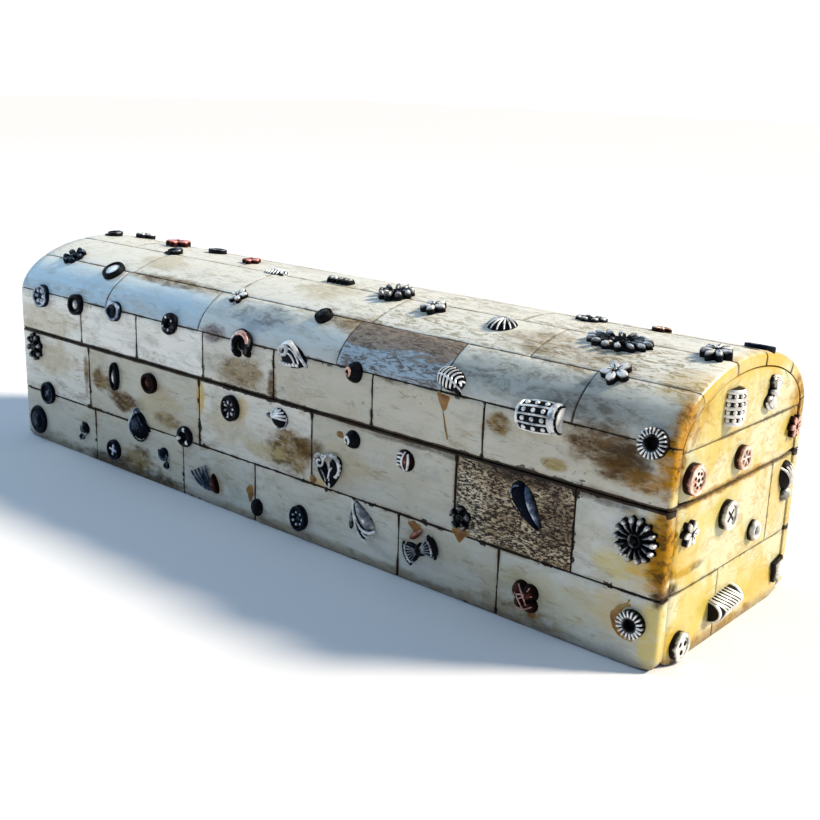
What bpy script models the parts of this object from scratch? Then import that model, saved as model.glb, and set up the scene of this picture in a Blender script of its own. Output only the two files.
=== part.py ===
"""A long, narrow trinket box with a vaulted lid, faced with bone plaques and set with metal studs.

X runs along the box, the front faces -Y and Z is up. The origin is on the surface that the box
stands on, below its middle. The lid lifts off the tray: a low tongue on the tray keeps it in place.
"""

import math

import bmesh
import bpy
from mathutils import Vector

# The box, over its bone
BOX_LENGTH = 0.230
BOX_DEPTH = 0.061
TRAY_HEIGHT = 0.035
LID_WALL_HEIGHT = 0.011
VAULT_RISE = 0.016

# The wooden carcasses
TRAY_WALL = 0.004
TRAY_FLOOR = 0.004
LID_WALL = 0.004
TONGUE_HEIGHT = 0.0025
TONGUE_WIDTH = 0.0016
TONGUE_CLEARANCE = 0.0004

# The bone plaques
BONE_THICKNESS = 0.003
LOWER_COURSE_HEIGHT = 0.016
JOINT_WIDTH = 0.0010
JOINT_DEPTH = 0.0006
EDGE_ROUND = 0.0004

# What rests on or is glued to something keeps this gap to it
CONTACT_GAP = 0.0003

# The mastic tongue that carries one course of plaques on to the next
MASTIC_REACH = 0.0008
MASTIC_INSET = 0.0020
MASTIC_SINK = 0.0004

# How far a small stud that is one with its plaque is rooted below the face
STUD_ROOT = 0.0009

# How far the tallest studs stand out, on every side
STUD_RISE = 0.0036

# How wide the plain round studs of the turned-away sides are
PLAIN_STUD_WIDTH = 0.0063

# Joints of the plaques, as shares of the length from the left end
TRAY_FRONT_UPPER_JOINTS = (0.157, 0.380, 0.570, 0.770, 0.907)
TRAY_FRONT_LOWER_JOINTS = (0.167, 0.348, 0.478, 0.698, 0.826)
LID_FRONT_JOINTS = (0.143, 0.261, 0.388, 0.509, 0.657, 0.800)
VAULT_FRONT_JOINTS = (0.196, 0.378, 0.604, 0.746, 0.896)
CROWN_FRONT_JOINTS = (0.204, 0.400, 0.617, 0.820)
CROWN_RIDGE_JOINTS = (0.120, 0.330, 0.540, 0.765)
HIDDEN_JOINTS = (0.2, 0.4, 0.6, 0.8)

# Joints of the end plaques, as shares of the depth from the front
END_UPPER_JOINTS = (0.80,)
END_LOWER_JOINTS = (0.39,)

# Where the lid's courses meet, as shares of the vault's own arc from front to back
VAULT_COURSES = (0.027, 0.207, 0.408, 0.592, 0.793, 0.973)
VAULT_CORNERS = (0.207, 0.408, 0.592, 0.793)

# How finely the round forms are cut
BENDS_PER_COURSE = 3
ARC_SAMPLES = 720
ROUND_SIDES = 10
BEAD_SIDES = 6
PLAIN_SIDES = 7

WOOD_COLOUR = (0.20, 0.11, 0.055)
BONE_COLOUR = (0.80, 0.74, 0.58)
SILVER_COLOUR = (0.42, 0.41, 0.40)
COPPER_COLOUR = (0.46, 0.25, 0.17)

HALF_LENGTH = BOX_LENGTH / 2
HALF_DEPTH = BOX_DEPTH / 2
SPRING_HEIGHT = TRAY_HEIGHT + LID_WALL_HEIGHT
SEAM_LOW = TRAY_HEIGHT - CONTACT_GAP / 2
SEAM_HIGH = TRAY_HEIGHT + CONTACT_GAP / 2


def clear_scene():
    for old in list(bpy.data.objects):
        bpy.data.objects.remove(old, do_unlink=True)


def make_material(name, colour, roughness, metallic):
    material = bpy.data.materials.new(name)
    material.use_nodes = True
    shader = material.node_tree.nodes["Principled BSDF"]
    shader.inputs["Base Color"].default_value = (*colour, 1.0)
    shader.inputs["Roughness"].default_value = roughness
    shader.inputs["Metallic"].default_value = metallic
    material.diffuse_color = (*colour, 1.0)
    return material


def add_piece(name, mesh, material):
    """Put a finished bmesh into the scene as one named piece."""
    bmesh.ops.recalc_face_normals(mesh, faces=mesh.faces)
    data = bpy.data.meshes.new(name)
    mesh.to_mesh(data)
    mesh.free()
    data.materials.append(material)
    data.shade_smooth()
    data.set_sharp_from_angle(angle=math.radians(35))
    piece = bpy.data.objects.new(name, data)
    bpy.context.scene.collection.objects.link(piece)
    return piece


def hide_helper(piece):
    piece.hide_render = True
    piece.display_type = "WIRE"
    return piece


def combine(piece, helper, operation):
    """Join a helper to a piece, or cut it away, with a live Boolean."""
    change = piece.modifiers.new(helper.name, "BOOLEAN")
    change.operation = operation
    change.solver = "EXACT"
    change.object = hide_helper(helper)


def skin_loops(mesh, loops):
    """Bridge closed loops of points in order and close both ends."""
    rows = [[mesh.verts.new(point) for point in loop] for loop in loops]
    for low, high in zip(rows, rows[1:]):
        for index in range(len(low)):
            after = (index + 1) % len(low)
            mesh.faces.new((low[index], low[after], high[after], high[index]))
    mesh.faces.new(reversed(rows[0]))
    mesh.faces.new(rows[-1])


def skin_to_tip(mesh, loops, tip):
    """Bridge loops of points in order, close the first and gather the last at a tip."""
    rows = [[mesh.verts.new(point) for point in loop] for loop in loops]
    for low, high in zip(rows, rows[1:]):
        for index in range(len(low)):
            after = (index + 1) % len(low)
            mesh.faces.new((low[index], low[after], high[after], high[index]))
    mesh.faces.new(reversed(rows[0]))
    top = mesh.verts.new(tip)
    last = rows[-1]
    for index in range(len(last)):
        mesh.faces.new((last[index], last[(index + 1) % len(last)], top))


# The faces that plaques and studs are set on


class FlatFace:
    """An upright face: along runs from its start, across runs up, proud stands out of the bone."""

    def __init__(self, start, direction, outward, length, height):
        self.start = Vector(start)
        self.direction = Vector(direction)
        self.outward = Vector(outward)
        self.length = length
        self.height = height

    def point(self, along, across, proud):
        base = self.start + self.direction * along + self.outward * proud
        return base + Vector((0.0, 0.0, across))

    def bed(self, across):
        return BONE_THICKNESS

    def rest(self, along, across):
        """Where a flat-backed stud rests: a point, the way up the face, and outwards."""
        return self.point(along, across, CONTACT_GAP), Vector((0.0, 0.0, 1.0)), self.outward


class LidFace:
    """The lid's long skin: across runs up the front wall, over the vault and down the back wall."""

    def __init__(self):
        angles = [math.pi * step / ARC_SAMPLES for step in range(ARC_SAMPLES + 1)]
        points = [self.on_vault(angle) for angle in angles]
        run = [0.0]
        for before, after in zip(points, points[1:]):
            run.append(run[-1] + (after - before).length)
        self.angles = angles
        self.run = run
        self.arc = run[-1]
        self.length = BOX_LENGTH
        self.height = self.arc + 2 * LID_WALL_HEIGHT
        self.corners = self.bed_corners()

    @staticmethod
    def on_vault(angle):
        return Vector((-HALF_DEPTH * math.cos(angle), SPRING_HEIGHT + VAULT_RISE * math.sin(angle)))

    def angle_at(self, arc):
        low, high = 0, ARC_SAMPLES
        while high - low > 1:
            middle = (low + high) // 2
            if self.run[middle] <= arc:
                low = middle
            else:
                high = middle
        share = (arc - self.run[low]) / (self.run[high] - self.run[low])
        return self.angles[low] + share * (self.angles[high] - self.angles[low])

    def section(self, across):
        """The skin's point and outward normal, in Y and Z, at a distance from the front seam."""
        arc = across - LID_WALL_HEIGHT
        if arc <= 0.0:
            return Vector((-HALF_DEPTH, SPRING_HEIGHT + arc)), Vector((-1.0, 0.0))
        if arc >= self.arc:
            return Vector((HALF_DEPTH, SPRING_HEIGHT - (arc - self.arc))), Vector((1.0, 0.0))
        angle = self.angle_at(arc)
        normal = Vector((-math.cos(angle) / HALF_DEPTH, math.sin(angle) / VAULT_RISE))
        return self.on_vault(angle), normal.normalized()

    def vault_share(self, share):
        """The distance from the front seam of a share of the vault's arc."""
        return LID_WALL_HEIGHT + share * self.arc

    def bed_corners(self):
        """The facets under the bone: each plaque's back is flat and spans one facet."""
        inner = HALF_DEPTH - BONE_THICKNESS
        corners = [Vector((-inner, SEAM_HIGH)), Vector((-inner, SPRING_HEIGHT))]
        for share in VAULT_CORNERS:
            point, normal = self.section(self.vault_share(share))
            corners.append(point - normal * BONE_THICKNESS)
        corners += [Vector((inner, SPRING_HEIGHT)), Vector((inner, SEAM_HIGH))]
        return corners

    def bed(self, across):
        """How thick the bone is, square to the skin, down to its flat back."""
        point, normal = self.section(across)
        depths = []
        for start, end in zip(self.corners, self.corners[1:]):
            edge = end - start
            turn = normal.x * edge.y - normal.y * edge.x
            if abs(turn) < 1e-9:
                continue
            gap = point - start
            depth = (gap.x * edge.y - gap.y * edge.x) / turn
            place = (gap.y * normal.x - gap.x * normal.y) / turn
            if -0.02 <= place <= 1.02 and depth > 0.0:
                depths.append(depth)
        return min(depths)

    def point(self, along, across, proud):
        point, normal = self.section(across)
        place = point + normal * proud
        return Vector((along - HALF_LENGTH, place.x, place.y))

    def rest(self, along, across):
        """Where a flat-backed stud rests: a point, the way up the face, and outwards."""
        normal = self.section(across)[1]
        upward = Vector((0.0, normal.y, -normal.x))
        return self.point(along, across, CONTACT_GAP), upward, Vector((0.0, normal.x, normal.y))


def end_face(side, lowest, height):
    """The face between the front and back plaques, on the right (+1) or the left (-1) end."""
    inset = BONE_THICKNESS + CONTACT_GAP
    length = BOX_DEPTH - 2 * inset
    start = (side * HALF_LENGTH, side * (inset - HALF_DEPTH), lowest)
    return FlatFace(start, (0, side, 0), (side, 0, 0), length, height)


def long_face(side):
    """The tray's front (-1) or back (+1)."""
    start = (side * HALF_LENGTH, side * HALF_DEPTH, 0)
    return FlatFace(start, (-side, 0, 0), (0, side, 0), BOX_LENGTH, SEAM_LOW)


# The plaques


def course_loop(face, joints, across, depth, inset, sink):
    """One loop round a course: its grooved outer side, then its flat back."""
    half = JOINT_WIDTH / 2
    first, last = inset, face.length - inset
    outer = [(first, EDGE_ROUND), (first + EDGE_ROUND, 0.0)]
    for share in joints:
        joint = share * face.length
        outer += [(joint - half, 0.0), (joint, JOINT_DEPTH), (joint + half, 0.0)]
    outer += [(last - EDGE_ROUND, 0.0), (last, EDGE_ROUND)]
    loop = [face.point(along, across, -max(cut, depth)) for along, cut in outer]
    back = sink - face.bed(across)
    loop.append(face.point(last, across, back))
    loop.append(face.point(first, across, back))
    return loop


def add_course(name, face, low, high, joints, material, bends=(), joined=False):
    """A course of plaques from low to high. One that is joined carries on into the next course."""
    steps = [(low, EDGE_ROUND, 0.0, 0.0), (low + EDGE_ROUND, 0.0, 0.0, 0.0)]
    steps += [(bend, 0.0, 0.0, 0.0) for bend in bends]
    steps += [(high - EDGE_ROUND, 0.0, 0.0, 0.0), (high, EDGE_ROUND, 0.0, 0.0)]
    if joined:
        reach = high + CONTACT_GAP + MASTIC_REACH
        steps.append((high, JOINT_DEPTH, MASTIC_INSET, MASTIC_SINK))
        steps.append((reach, JOINT_DEPTH, MASTIC_INSET, MASTIC_SINK))
    mesh = bmesh.new()
    skin_loops(mesh, [course_loop(face, joints, *step) for step in steps])
    return add_piece(name, mesh, material)


def flat_facing(name, face, split, lower_joints, upper_joints, material):
    """The plaques of one upright side of the tray, in two courses."""
    middle = split - CONTACT_GAP / 2
    piece = add_course(name, face, 0.0, middle, lower_joints, material, joined=True)
    upper = add_course(
        name + ".upper", face, middle + CONTACT_GAP, face.height, upper_joints, material
    )
    combine(piece, upper, "UNION")
    return piece


def vault_bends(face, low, high):
    """Where the skin of a course bends: along its arc, and where the wall meets the vault."""
    bends = [low + (high - low) * step / BENDS_PER_COURSE for step in range(1, BENDS_PER_COURSE)]
    for spring in (LID_WALL_HEIGHT, LID_WALL_HEIGHT + face.arc):
        if low + EDGE_ROUND < spring < high - EDGE_ROUND:
            bends = [bend for bend in bends if abs(bend - spring) > EDGE_ROUND] + [spring]
    return sorted(bends)


def vault_facing(name, face, limits, joints, material):
    """Neighbouring courses on the lid's skin, joined into one piece."""
    pieces = []
    for index, (low, high) in enumerate(zip(limits, limits[1:])):
        low += 0.0 if index == 0 else CONTACT_GAP / 2
        high -= 0.0 if index == len(limits) - 2 else CONTACT_GAP / 2
        part_name = name if index == 0 else f"{name}.course{index + 1}"
        pieces.append(
            add_course(
                part_name,
                face,
                low,
                high,
                joints[index],
                material,
                bends=vault_bends(face, low, high),
                joined=index < len(limits) - 2,
            )
        )
    for extra in pieces[1:]:
        combine(pieces[0], extra, "UNION")
    return pieces[0]


def offset_line(points, distance):
    """An open line of points moved to its right by a distance, with mitred corners."""
    shifted = []
    for start, end in zip(points, points[1:]):
        edge = (end - start).normalized()
        aside = Vector((edge.y, -edge.x)) * distance
        shifted.append((start + aside, edge))
    moved = [shifted[0][0]]
    for (start, edge), (after, turn) in zip(shifted, shifted[1:]):
        cross = edge.x * turn.y - edge.y * turn.x
        gap = after - start
        moved.append(start + edge * ((gap.x * turn.y - gap.y * turn.x) / cross))
    last_start, last_edge = shifted[-1]
    moved.append(last_start + last_edge * (points[-1] - points[-2]).length)
    moved[0].y = points[0].y
    moved[-1].y = points[-1].y
    return moved


def cut_above(points, height):
    """The stretch of an arched line that is above a height, with its two feet on that height."""
    kept = [point for point in points if point.y > height]
    feet = []
    for start, end in zip(points, points[1:]):
        if (start.y > height) != (end.y > height):
            feet.append(start + (end - start) * ((height - start.y) / (end.y - start.y)))
    return [feet[0], *kept, feet[-1]]


def add_prism(name, outline, near, far, material, round_edge=0.0):
    """An outline in Y and Z stretched from near to far along X, its far edge rounded off."""
    loops = [[(near, point.x, point.y) for point in outline]]
    if round_edge:
        edge = far - math.copysign(round_edge, far - near)
        loops.append([(edge, point.x, point.y) for point in outline])
        middle = Vector((0.0, sum(point.y for point in outline) / len(outline)))
        small = []
        for point in outline:
            toward = (middle - point).normalized() * round_edge
            small.append((far, point.x + toward.x, point.y + toward.y))
        loops.append(small)
    else:
        loops.append([(far, point.x, point.y) for point in outline])
    mesh = bmesh.new()
    skin_loops(mesh, loops)
    return add_piece(name, mesh, material)


def lid_end_facing(name, face, lid, side, material):
    """The strip and the half-moon plaque above it on one end of the lid."""
    joint = LID_WALL_HEIGHT - CONTACT_GAP
    piece = add_course(name, face, 0.0, joint, (), material, joined=True)
    arch = cut_above(offset_line(lid.corners, CONTACT_GAP), SPRING_HEIGHT + CONTACT_GAP / 2)
    inner = side * (HALF_LENGTH - BONE_THICKNESS)
    lunette = add_prism(
        name + ".lunette", arch, inner, side * HALF_LENGTH, material, round_edge=EDGE_ROUND
    )
    combine(piece, lunette, "UNION")
    return piece


# The wooden carcasses


def add_box(name, low, high, material):
    mesh = bmesh.new()
    bmesh.ops.create_cube(mesh, size=1.0)
    middle = (Vector(low) + Vector(high)) / 2
    size = Vector(high) - Vector(low)
    bmesh.ops.scale(mesh, vec=size, verts=mesh.verts)
    bmesh.ops.translate(mesh, vec=middle, verts=mesh.verts)
    return add_piece(name, mesh, material)


def centred_box(name, half_x, half_y, low, high, material):
    return add_box(name, (-half_x, -half_y, low), (half_x, half_y, high), material)


def add_tray_carcass(material):
    """An open wooden box. Its rim carries a low tongue that the lid fits over."""
    half_x = HALF_LENGTH - BONE_THICKNESS - CONTACT_GAP
    half_y = HALF_DEPTH - BONE_THICKNESS - CONTACT_GAP
    cavity_x = half_x - TRAY_WALL
    cavity_y = half_y - TRAY_WALL
    top = SEAM_LOW + TONGUE_HEIGHT
    tray = centred_box("tray_carcass", half_x, half_y, 0.0, SEAM_LOW, material)
    tongue = centred_box(
        "tray_carcass.tongue",
        cavity_x + TONGUE_WIDTH,
        cavity_y + TONGUE_WIDTH,
        TRAY_FLOOR / 2,
        top,
        material,
    )
    cavity = centred_box(
        "tray_carcass.cavity", cavity_x, cavity_y, TRAY_FLOOR, top + TRAY_HEIGHT, material
    )
    combine(tray, tongue, "UNION")
    combine(tray, cavity, "DIFFERENCE")
    return tray


def add_lid_carcass(lid, material):
    """A wooden lid with a faceted vault, hollow below, its rim rebated for the tray's tongue."""
    half_x = HALF_LENGTH - BONE_THICKNESS - CONTACT_GAP
    outer = offset_line(lid.corners, CONTACT_GAP)
    inner = offset_line(lid.corners, CONTACT_GAP + LID_WALL)
    below = SEAM_HIGH - LID_WALL
    inner = [Vector((inner[0].x, below)), *inner[1:-1], Vector((inner[-1].x, below))]
    carcass = add_prism("lid_carcass", outer, -half_x, half_x, material)
    hollow_x = half_x - LID_WALL
    hollow = add_prism("lid_carcass.hollow", inner, -hollow_x, hollow_x, material)
    reach = TONGUE_WIDTH + TONGUE_CLEARANCE
    rebate = centred_box(
        "lid_carcass.rebate",
        half_x - TRAY_WALL + reach,
        HALF_DEPTH - BONE_THICKNESS - CONTACT_GAP - TRAY_WALL + reach,
        below,
        SEAM_HIGH + TONGUE_HEIGHT + TONGUE_CLEARANCE,
        material,
    )
    combine(carcass, hollow, "DIFFERENCE")
    combine(carcass, rebate, "DIFFERENCE")
    return carcass


# The studs


class Seat:
    """A place on a face, given as shares of its length and height, and how a stud is turned there."""

    def __init__(self, face, along_share, across_share, turn=0.0):
        along, across = along_share * face.length, across_share * face.height
        self.origin, upward, self.outward = face.rest(along, across)
        sideways = upward.cross(self.outward)
        cosine, sine = math.cos(math.radians(turn)), math.sin(math.radians(turn))
        self.u_axis = sideways * cosine + upward * sine
        self.v_axis = upward * cosine - sideways * sine

    def point(self, u, v, rise):
        return self.origin + self.u_axis * u + self.v_axis * v + self.outward * rise


def oval(length, width):
    return lambda angle: (length / 2 * math.cos(angle), width / 2 * math.sin(angle))


def petalled(length, width, petals, notch):
    """An oval outline drawn in between its petals."""

    def outline(angle):
        share = 1.0 - notch * valley(petals, angle)
        return length / 2 * share * math.cos(angle), width / 2 * share * math.sin(angle)

    return outline


def valley(petals, angle):
    """0 along the middle of a petal and 1 between two petals."""
    return (1.0 - math.cos(petals * angle)) / 2


def teardrop(width, length):
    """A drop with its tip up."""
    return lambda angle: (
        width / 2 * 1.25 * math.sin(angle) * abs(math.sin(angle / 2)) ** 1.5,
        length / 2 * math.cos(angle),
    )


def leaf(length, width):
    """A pointed leaf lying along the seat."""
    return lambda angle: (
        length / 2 * math.cos(angle),
        width / 2 * math.sin(angle) * abs(math.sin(angle)) ** 0.6,
    )


def fan(width, height, ribs):
    """A scallop shell that widens upwards from a narrow hinge."""

    def outline(angle):
        spread = (1.0 + math.sin(angle)) / 2
        share = (0.45 + 0.55 * spread**0.7) * (1.0 - 0.12 * spread * valley(ribs, angle))
        return width / 2 * share * math.cos(angle), height / 2 * share * math.sin(angle)

    return outline


def heart(width, height):
    """Two rounded leaves side by side with their tips together below."""

    def outline(angle):
        swing = angle - math.pi / 2
        share = 1.0 - 0.38 * math.exp(-((swing / 0.42) ** 2))
        share *= 1.0 - 0.25 * abs(math.sin(swing / 2)) ** 3 * abs(math.cos(angle))
        return width / 2 * share * math.cos(angle), height / 2 * share * math.sin(angle)

    return outline


def bow(width, height):
    """Two wings spreading from a narrow waist."""

    def outline(angle):
        share = 0.36 + 0.64 * abs(math.cos(angle)) ** 0.9
        lift = share * (1.0 + 0.9 * abs(math.cos(angle)))
        return width / 2 * share * math.cos(angle), height / 2 * lift * math.sin(angle)

    return outline


def saddle(width, height):
    """A bell: narrow and round above, spread into two lobes below."""

    def outline(angle):
        low = (1.0 - math.sin(angle)) / 2
        share = 0.72 + 0.28 * low * (1.0 - 0.9 * abs(math.sin(angle)) ** 6)
        return width / 2 * share * math.cos(angle), height / 2 * share * math.sin(angle)

    return outline


def relief_stud(name, seat, outline, sides, rings, tip, material, petals=0, flute=0.0):
    """A cast stud built up from its outline.

    Each ring is a share of the outline and a rise above the face. The rise of every ring but the
    first dips between the petals by the flute. A tip of None leaves the top flat.
    """
    start = 0.5 if petals and sides == 3 * petals else 0.0
    loops = []
    for level, (share, rise) in enumerate(rings):
        loop = []
        for side in range(sides):
            angle = 2 * math.pi * (side + start) / sides
            u, v = outline(angle)
            dip = flute * valley(petals, angle) if level else 0.0
            loop.append(seat.point(u * share, v * share, rise * (1.0 - dip)))
        loops.append(loop)
    mesh = bmesh.new()
    if tip is None:
        skin_loops(mesh, loops)
    else:
        skin_to_tip(mesh, loops, seat.point(0.0, 0.0, tip))
    return add_piece(name, mesh, material)


def add_rosette(name, seat, length, width, petals, rise, material, notch=0.14):
    """Petals round a pip that stands in a dished middle."""
    rings = ((1.0, 0.0), (1.0, 0.35 * rise), (0.70, rise), (0.34, 0.55 * rise))
    outline = petalled(length, width, petals, notch)
    return relief_stud(
        name, seat, outline, 3 * petals, rings, rise, material, petals=petals, flute=0.35
    )


def add_flower(name, seat, length, width, petals, rise, material, notch=0.3):
    """Open petals that fall away from a raised eye."""
    rings = ((1.0, 0.0), (1.0, 0.45 * rise), (0.40, 0.95 * rise))
    outline = petalled(length, width, petals, notch)
    return relief_stud(
        name, seat, outline, 3 * petals, rings, rise, material, petals=petals, flute=0.2
    )


def add_coin(name, seat, length, width, rise, material, rim=0.16):
    """A flat disc with a raised rim."""
    rings = ((1.0, 0.0), (1.0, 0.8 * rise), (1.0 - rim / 2, rise), (1.0 - rim, 0.65 * rise))
    return relief_stud(name, seat, oval(length, width), ROUND_SIDES, rings, None, material)


def add_dome(name, seat, length, width, rise, material):
    rings = ((1.0, 0.0), (1.0, 0.3 * rise), (0.72, 0.82 * rise))
    return relief_stud(name, seat, oval(length, width), ROUND_SIDES, rings, rise, material)


def add_ring(name, seat, length, width, rise, material, hole=0.42):
    """A thick ring round a deep eye."""
    rings = ((1.0, 0.0), (1.0, 0.5 * rise), (0.74, rise), (hole, 0.85 * rise), (hole * 0.9, 0.2 * rise))
    return relief_stud(name, seat, oval(length, width), ROUND_SIDES, rings, None, material)


def add_gear(name, seat, width, teeth, rise, material):
    """A ring of teeth round a deep, dark eye."""
    rings = ((1.0, 0.0), (1.0, 0.7 * rise), (0.60, rise), (0.52, 0.3 * rise))
    outline = petalled(width, width, teeth, 0.16)
    return relief_stud(
        name, seat, outline, 2 * teeth, rings, None, material, petals=teeth, flute=0.25
    )


def add_pillow(name, seat, outline, sides, rise, material, petals=0, flute=0.0):
    """A smooth swelling form with the given outline."""
    rings = ((1.0, 0.0), (1.0, 0.35 * rise), (0.66, 0.9 * rise))
    return relief_stud(
        name, seat, outline, sides, rings, rise, material, petals=petals, flute=flute
    )


def add_bar(name, seat, line, half_width, rise, steps, material):
    """A ridge swept along a line on the seat: each is a function of the share travelled."""
    loops = []
    for step in range(steps + 1):
        share = step / steps
        here = Vector(line(share))
        ahead = Vector(line(min(1.0, share + 0.01)))
        behind = Vector(line(max(0.0, share - 0.01)))
        edge = (ahead - behind).normalized()
        aside = Vector((-edge.y, edge.x)) * half_width(share)
        top = rise(share)
        loops.append(
            [
                seat.point(*(here - aside), 0.0),
                seat.point(*(here - aside * 0.6), top),
                seat.point(*(here + aside * 0.6), top),
                seat.point(*(here + aside), 0.0),
            ]
        )
    mesh = bmesh.new()
    skin_loops(mesh, loops)
    return add_piece(name, mesh, material)


def add_bead(name, seat, length, width, rise, stations, material):
    """A half-round bead lying flat. Each station is a share of the length and of the girth."""
    loops = []
    for along, share in stations:
        loop = []
        for side in range(BEAD_SIDES + 1):
            angle = math.pi * side / BEAD_SIDES
            v = width / 2 * share * math.cos(angle)
            loop.append(seat.point((along - 0.5) * length, v, rise * share * math.sin(angle)))
        loops.append(loop)
    mesh = bmesh.new()
    skin_loops(mesh, loops)
    return add_piece(name, mesh, material)


def cast_on(piece, name, studs, material):
    """Small few-sided studs that are one with the plaques under them.

    Each is a seat, a length, a width, a number of petals, or none for a round one, and a rise.
    """
    mesh = bmesh.new()
    for seat, length, width, petals, rise in studs:
        outline = petalled(length, width, petals, 0.14) if petals else oval(length, width)
        sides = 2 * petals or PLAIN_SIDES
        loops = []
        for share, height in ((0.94, -STUD_ROOT), (1.0, 0.55 * rise), (0.45, rise)):
            loop = []
            for side in range(sides):
                u, v = outline(2 * math.pi * side / sides)
                loop.append(seat.point(u * share, v * share, height))
            loops.append(loop)
        skin_loops(mesh, loops)
    combine(piece, add_piece(name, mesh, material), "UNION")


def horseshoe_line(width, height):
    """A curve open to the right, like the letter C."""

    def line(share):
        angle = math.radians(50 + 260 * share)
        return width / 2 * math.cos(angle), height / 2 * math.sin(angle)

    return line


def snail_line(length, height):
    """A coil at the left that runs out to the right along the bottom."""

    def line(share):
        if share < 0.68:
            angle = math.radians(-20 + 250 * share / 0.68)
            radius = 0.5 * height * (0.52 + 0.28 * share / 0.68)
            return -0.2 * length + radius * math.cos(angle), 0.1 * height + radius * math.sin(angle)
        run = (share - 0.68) / 0.32
        angle = math.radians(230)
        radius = 0.5 * height * 0.8
        start_u = -0.2 * length + radius * math.cos(angle)
        start_v = 0.1 * height + radius * math.sin(angle)
        return start_u + run * (0.45 * length - start_u), start_v + run * (-0.32 * height - start_v)

    return line


def feather_line(length, height):
    """A long curve that lifts towards its right end."""
    return lambda share: (
        length * (share - 0.5),
        height * (0.32 * share**1.6 - 0.12),
    )


def add_tray_front_studs(face, silver, copper):
    def at(along, up, turn=0.0):
        return Seat(face, along, up, turn)

    add_rosette("stud_front_ridged_rosette", at(0.034, 0.866), 0.0074, 0.0088, 8, 0.0020, silver)
    add_coin("stud_front_disc", at(0.060, 0.466), 0.0068, 0.0070, 0.0014, silver)
    add_coin("stud_front_long_oval", at(0.215, 0.812), 0.0038, 0.0084, 0.0014, silver)
    add_dome("stud_front_copper_oval", at(0.287, 0.845), 0.0062, 0.0058, 0.0015, copper)
    shell = fan(0.0094, 0.0094, 9)
    add_pillow("stud_front_fan_shell", at(0.263, 0.462, 180), shell, 18, 0.0019, silver, 9, 0.3)
    add_flower("stud_front_small_flower", at(0.354, 0.495), 0.0064, 0.0064, 6, 0.0016, silver)
    add_coin("stud_front_coin", at(0.439, 0.845), 0.0062, 0.0070, 0.0016, silver)
    ribbed = petalled(0.0080, 0.0054, 5, 0.12)
    add_pillow("stud_front_ribbed_shell", at(0.517, 0.880), ribbed, 10, 0.0019, silver, 5, 0.3)
    add_pillow(
        "stud_front_heart_leaves", at(0.597, 0.613), heart(0.0088, 0.0098), 16, 0.0018, silver
    )
    drop = teardrop(0.0078, 0.0118)
    add_pillow("stud_front_teardrop", at(0.857, 0.796, 215), drop, 14, 0.0024, silver)
    add_rosette("stud_front_large_rosette", at(0.972, 0.798), 0.0102, 0.0102, 10, 0.0022, silver)
    add_dome("stud_front_corner_dome", at(0.032, 0.178), 0.0086, 0.0092, 0.0022, silver)
    add_bar(
        "stud_front_comma_leaf",
        at(0.143, 0.226, 20),
        lambda share: (0.0072 * (share - 0.5), 0.0018 * math.sin(2.2 * share)),
        lambda share: 0.0008 + 0.0024 * (1.0 - share) ** 0.6,
        lambda share: 0.0016 - 0.0006 * share,
        5,
        silver,
    )
    add_coin("stud_front_low_disc", at(0.208, 0.160), 0.0058, 0.0060, 0.0014, silver)
    add_bar(
        "stud_front_feather",
        at(0.390, 0.200, 8),
        feather_line(0.0124, 0.0080),
        lambda share: 0.0014 + 0.0020 * math.sin(math.pi * share) ** 0.7,
        lambda share: 0.0020 + 0.0004 * math.cos(10 * math.pi * share),
        10,
        silver,
    )
    add_pillow("stud_front_saddle", at(0.651, 0.302), saddle(0.0098, 0.0104), 14, 0.0026, silver)
    wings = bow(0.0104, 0.0066)
    add_pillow("stud_front_bow_tie", at(0.730, 0.262, 26), wings, 16, 0.0026, silver, 8, 0.25)
    knot = petalled(0.0068, 0.0076, 4, 0.14)
    add_pillow("stud_front_knot", at(0.861, 0.206), knot, 12, 0.0028, copper, 4, 0.2)
    add_gear("stud_front_low_rosette", at(0.975, 0.280), 0.0062, 8, 0.0020, silver)


def add_lid_front_studs(face, silver, copper):
    def at(along, over, turn=0.0):
        return Seat(face, along, over, turn)

    add_flower("stud_lid_left_flower", at(0.055, 0.122), 0.0076, 0.0070, 6, 0.0018, silver)
    add_ring("stud_lid_ring_disc", at(0.136, 0.122), 0.0064, 0.0062, 0.0016, silver)
    add_dome("stud_lid_dome", at(0.217, 0.130), 0.0066, 0.0058, 0.0014, silver)
    add_flower("stud_lid_small_flower", at(0.329, 0.134), 0.0060, 0.0062, 6, 0.0016, silver)
    add_bar(
        "stud_lid_copper_horseshoe",
        at(0.459, 0.131),
        horseshoe_line(0.0074, 0.0062),
        lambda share: 0.0010 + 0.0006 * math.sin(math.pi * share),
        lambda share: 0.0018,
        9,
        copper,
    )
    add_bar(
        "stud_lid_snail",
        at(0.541, 0.131),
        snail_line(0.0098, 0.0060),
        lambda share: 0.0012,
        lambda share: 0.0019 + 0.0003 * math.cos(12 * math.pi * share),
        11,
        silver,
    )
    add_dome("stud_lid_copper_bead", at(0.632, 0.128), 0.0052, 0.0052, 0.0022, copper)
    veined = leaf(0.0086, 0.0056)
    add_pillow("stud_lid_veined_leaf", at(0.756, 0.162, 8), veined, 12, 0.0016, silver)
    barrel = ((0.0, 0.82), (0.04, 0.92), (0.34, 1.0), (0.50, 0.90), (0.66, 1.0), (0.96, 0.92), (1.0, 0.82))
    add_bead("stud_lid_barrel_bead", at(0.865, 0.132, 4), 0.0102, 0.0074, STUD_RISE, barrel, silver)
    add_gear("stud_lid_gear_ring", at(0.980, 0.136), 0.0064, 9, 0.0020, silver)


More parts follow.
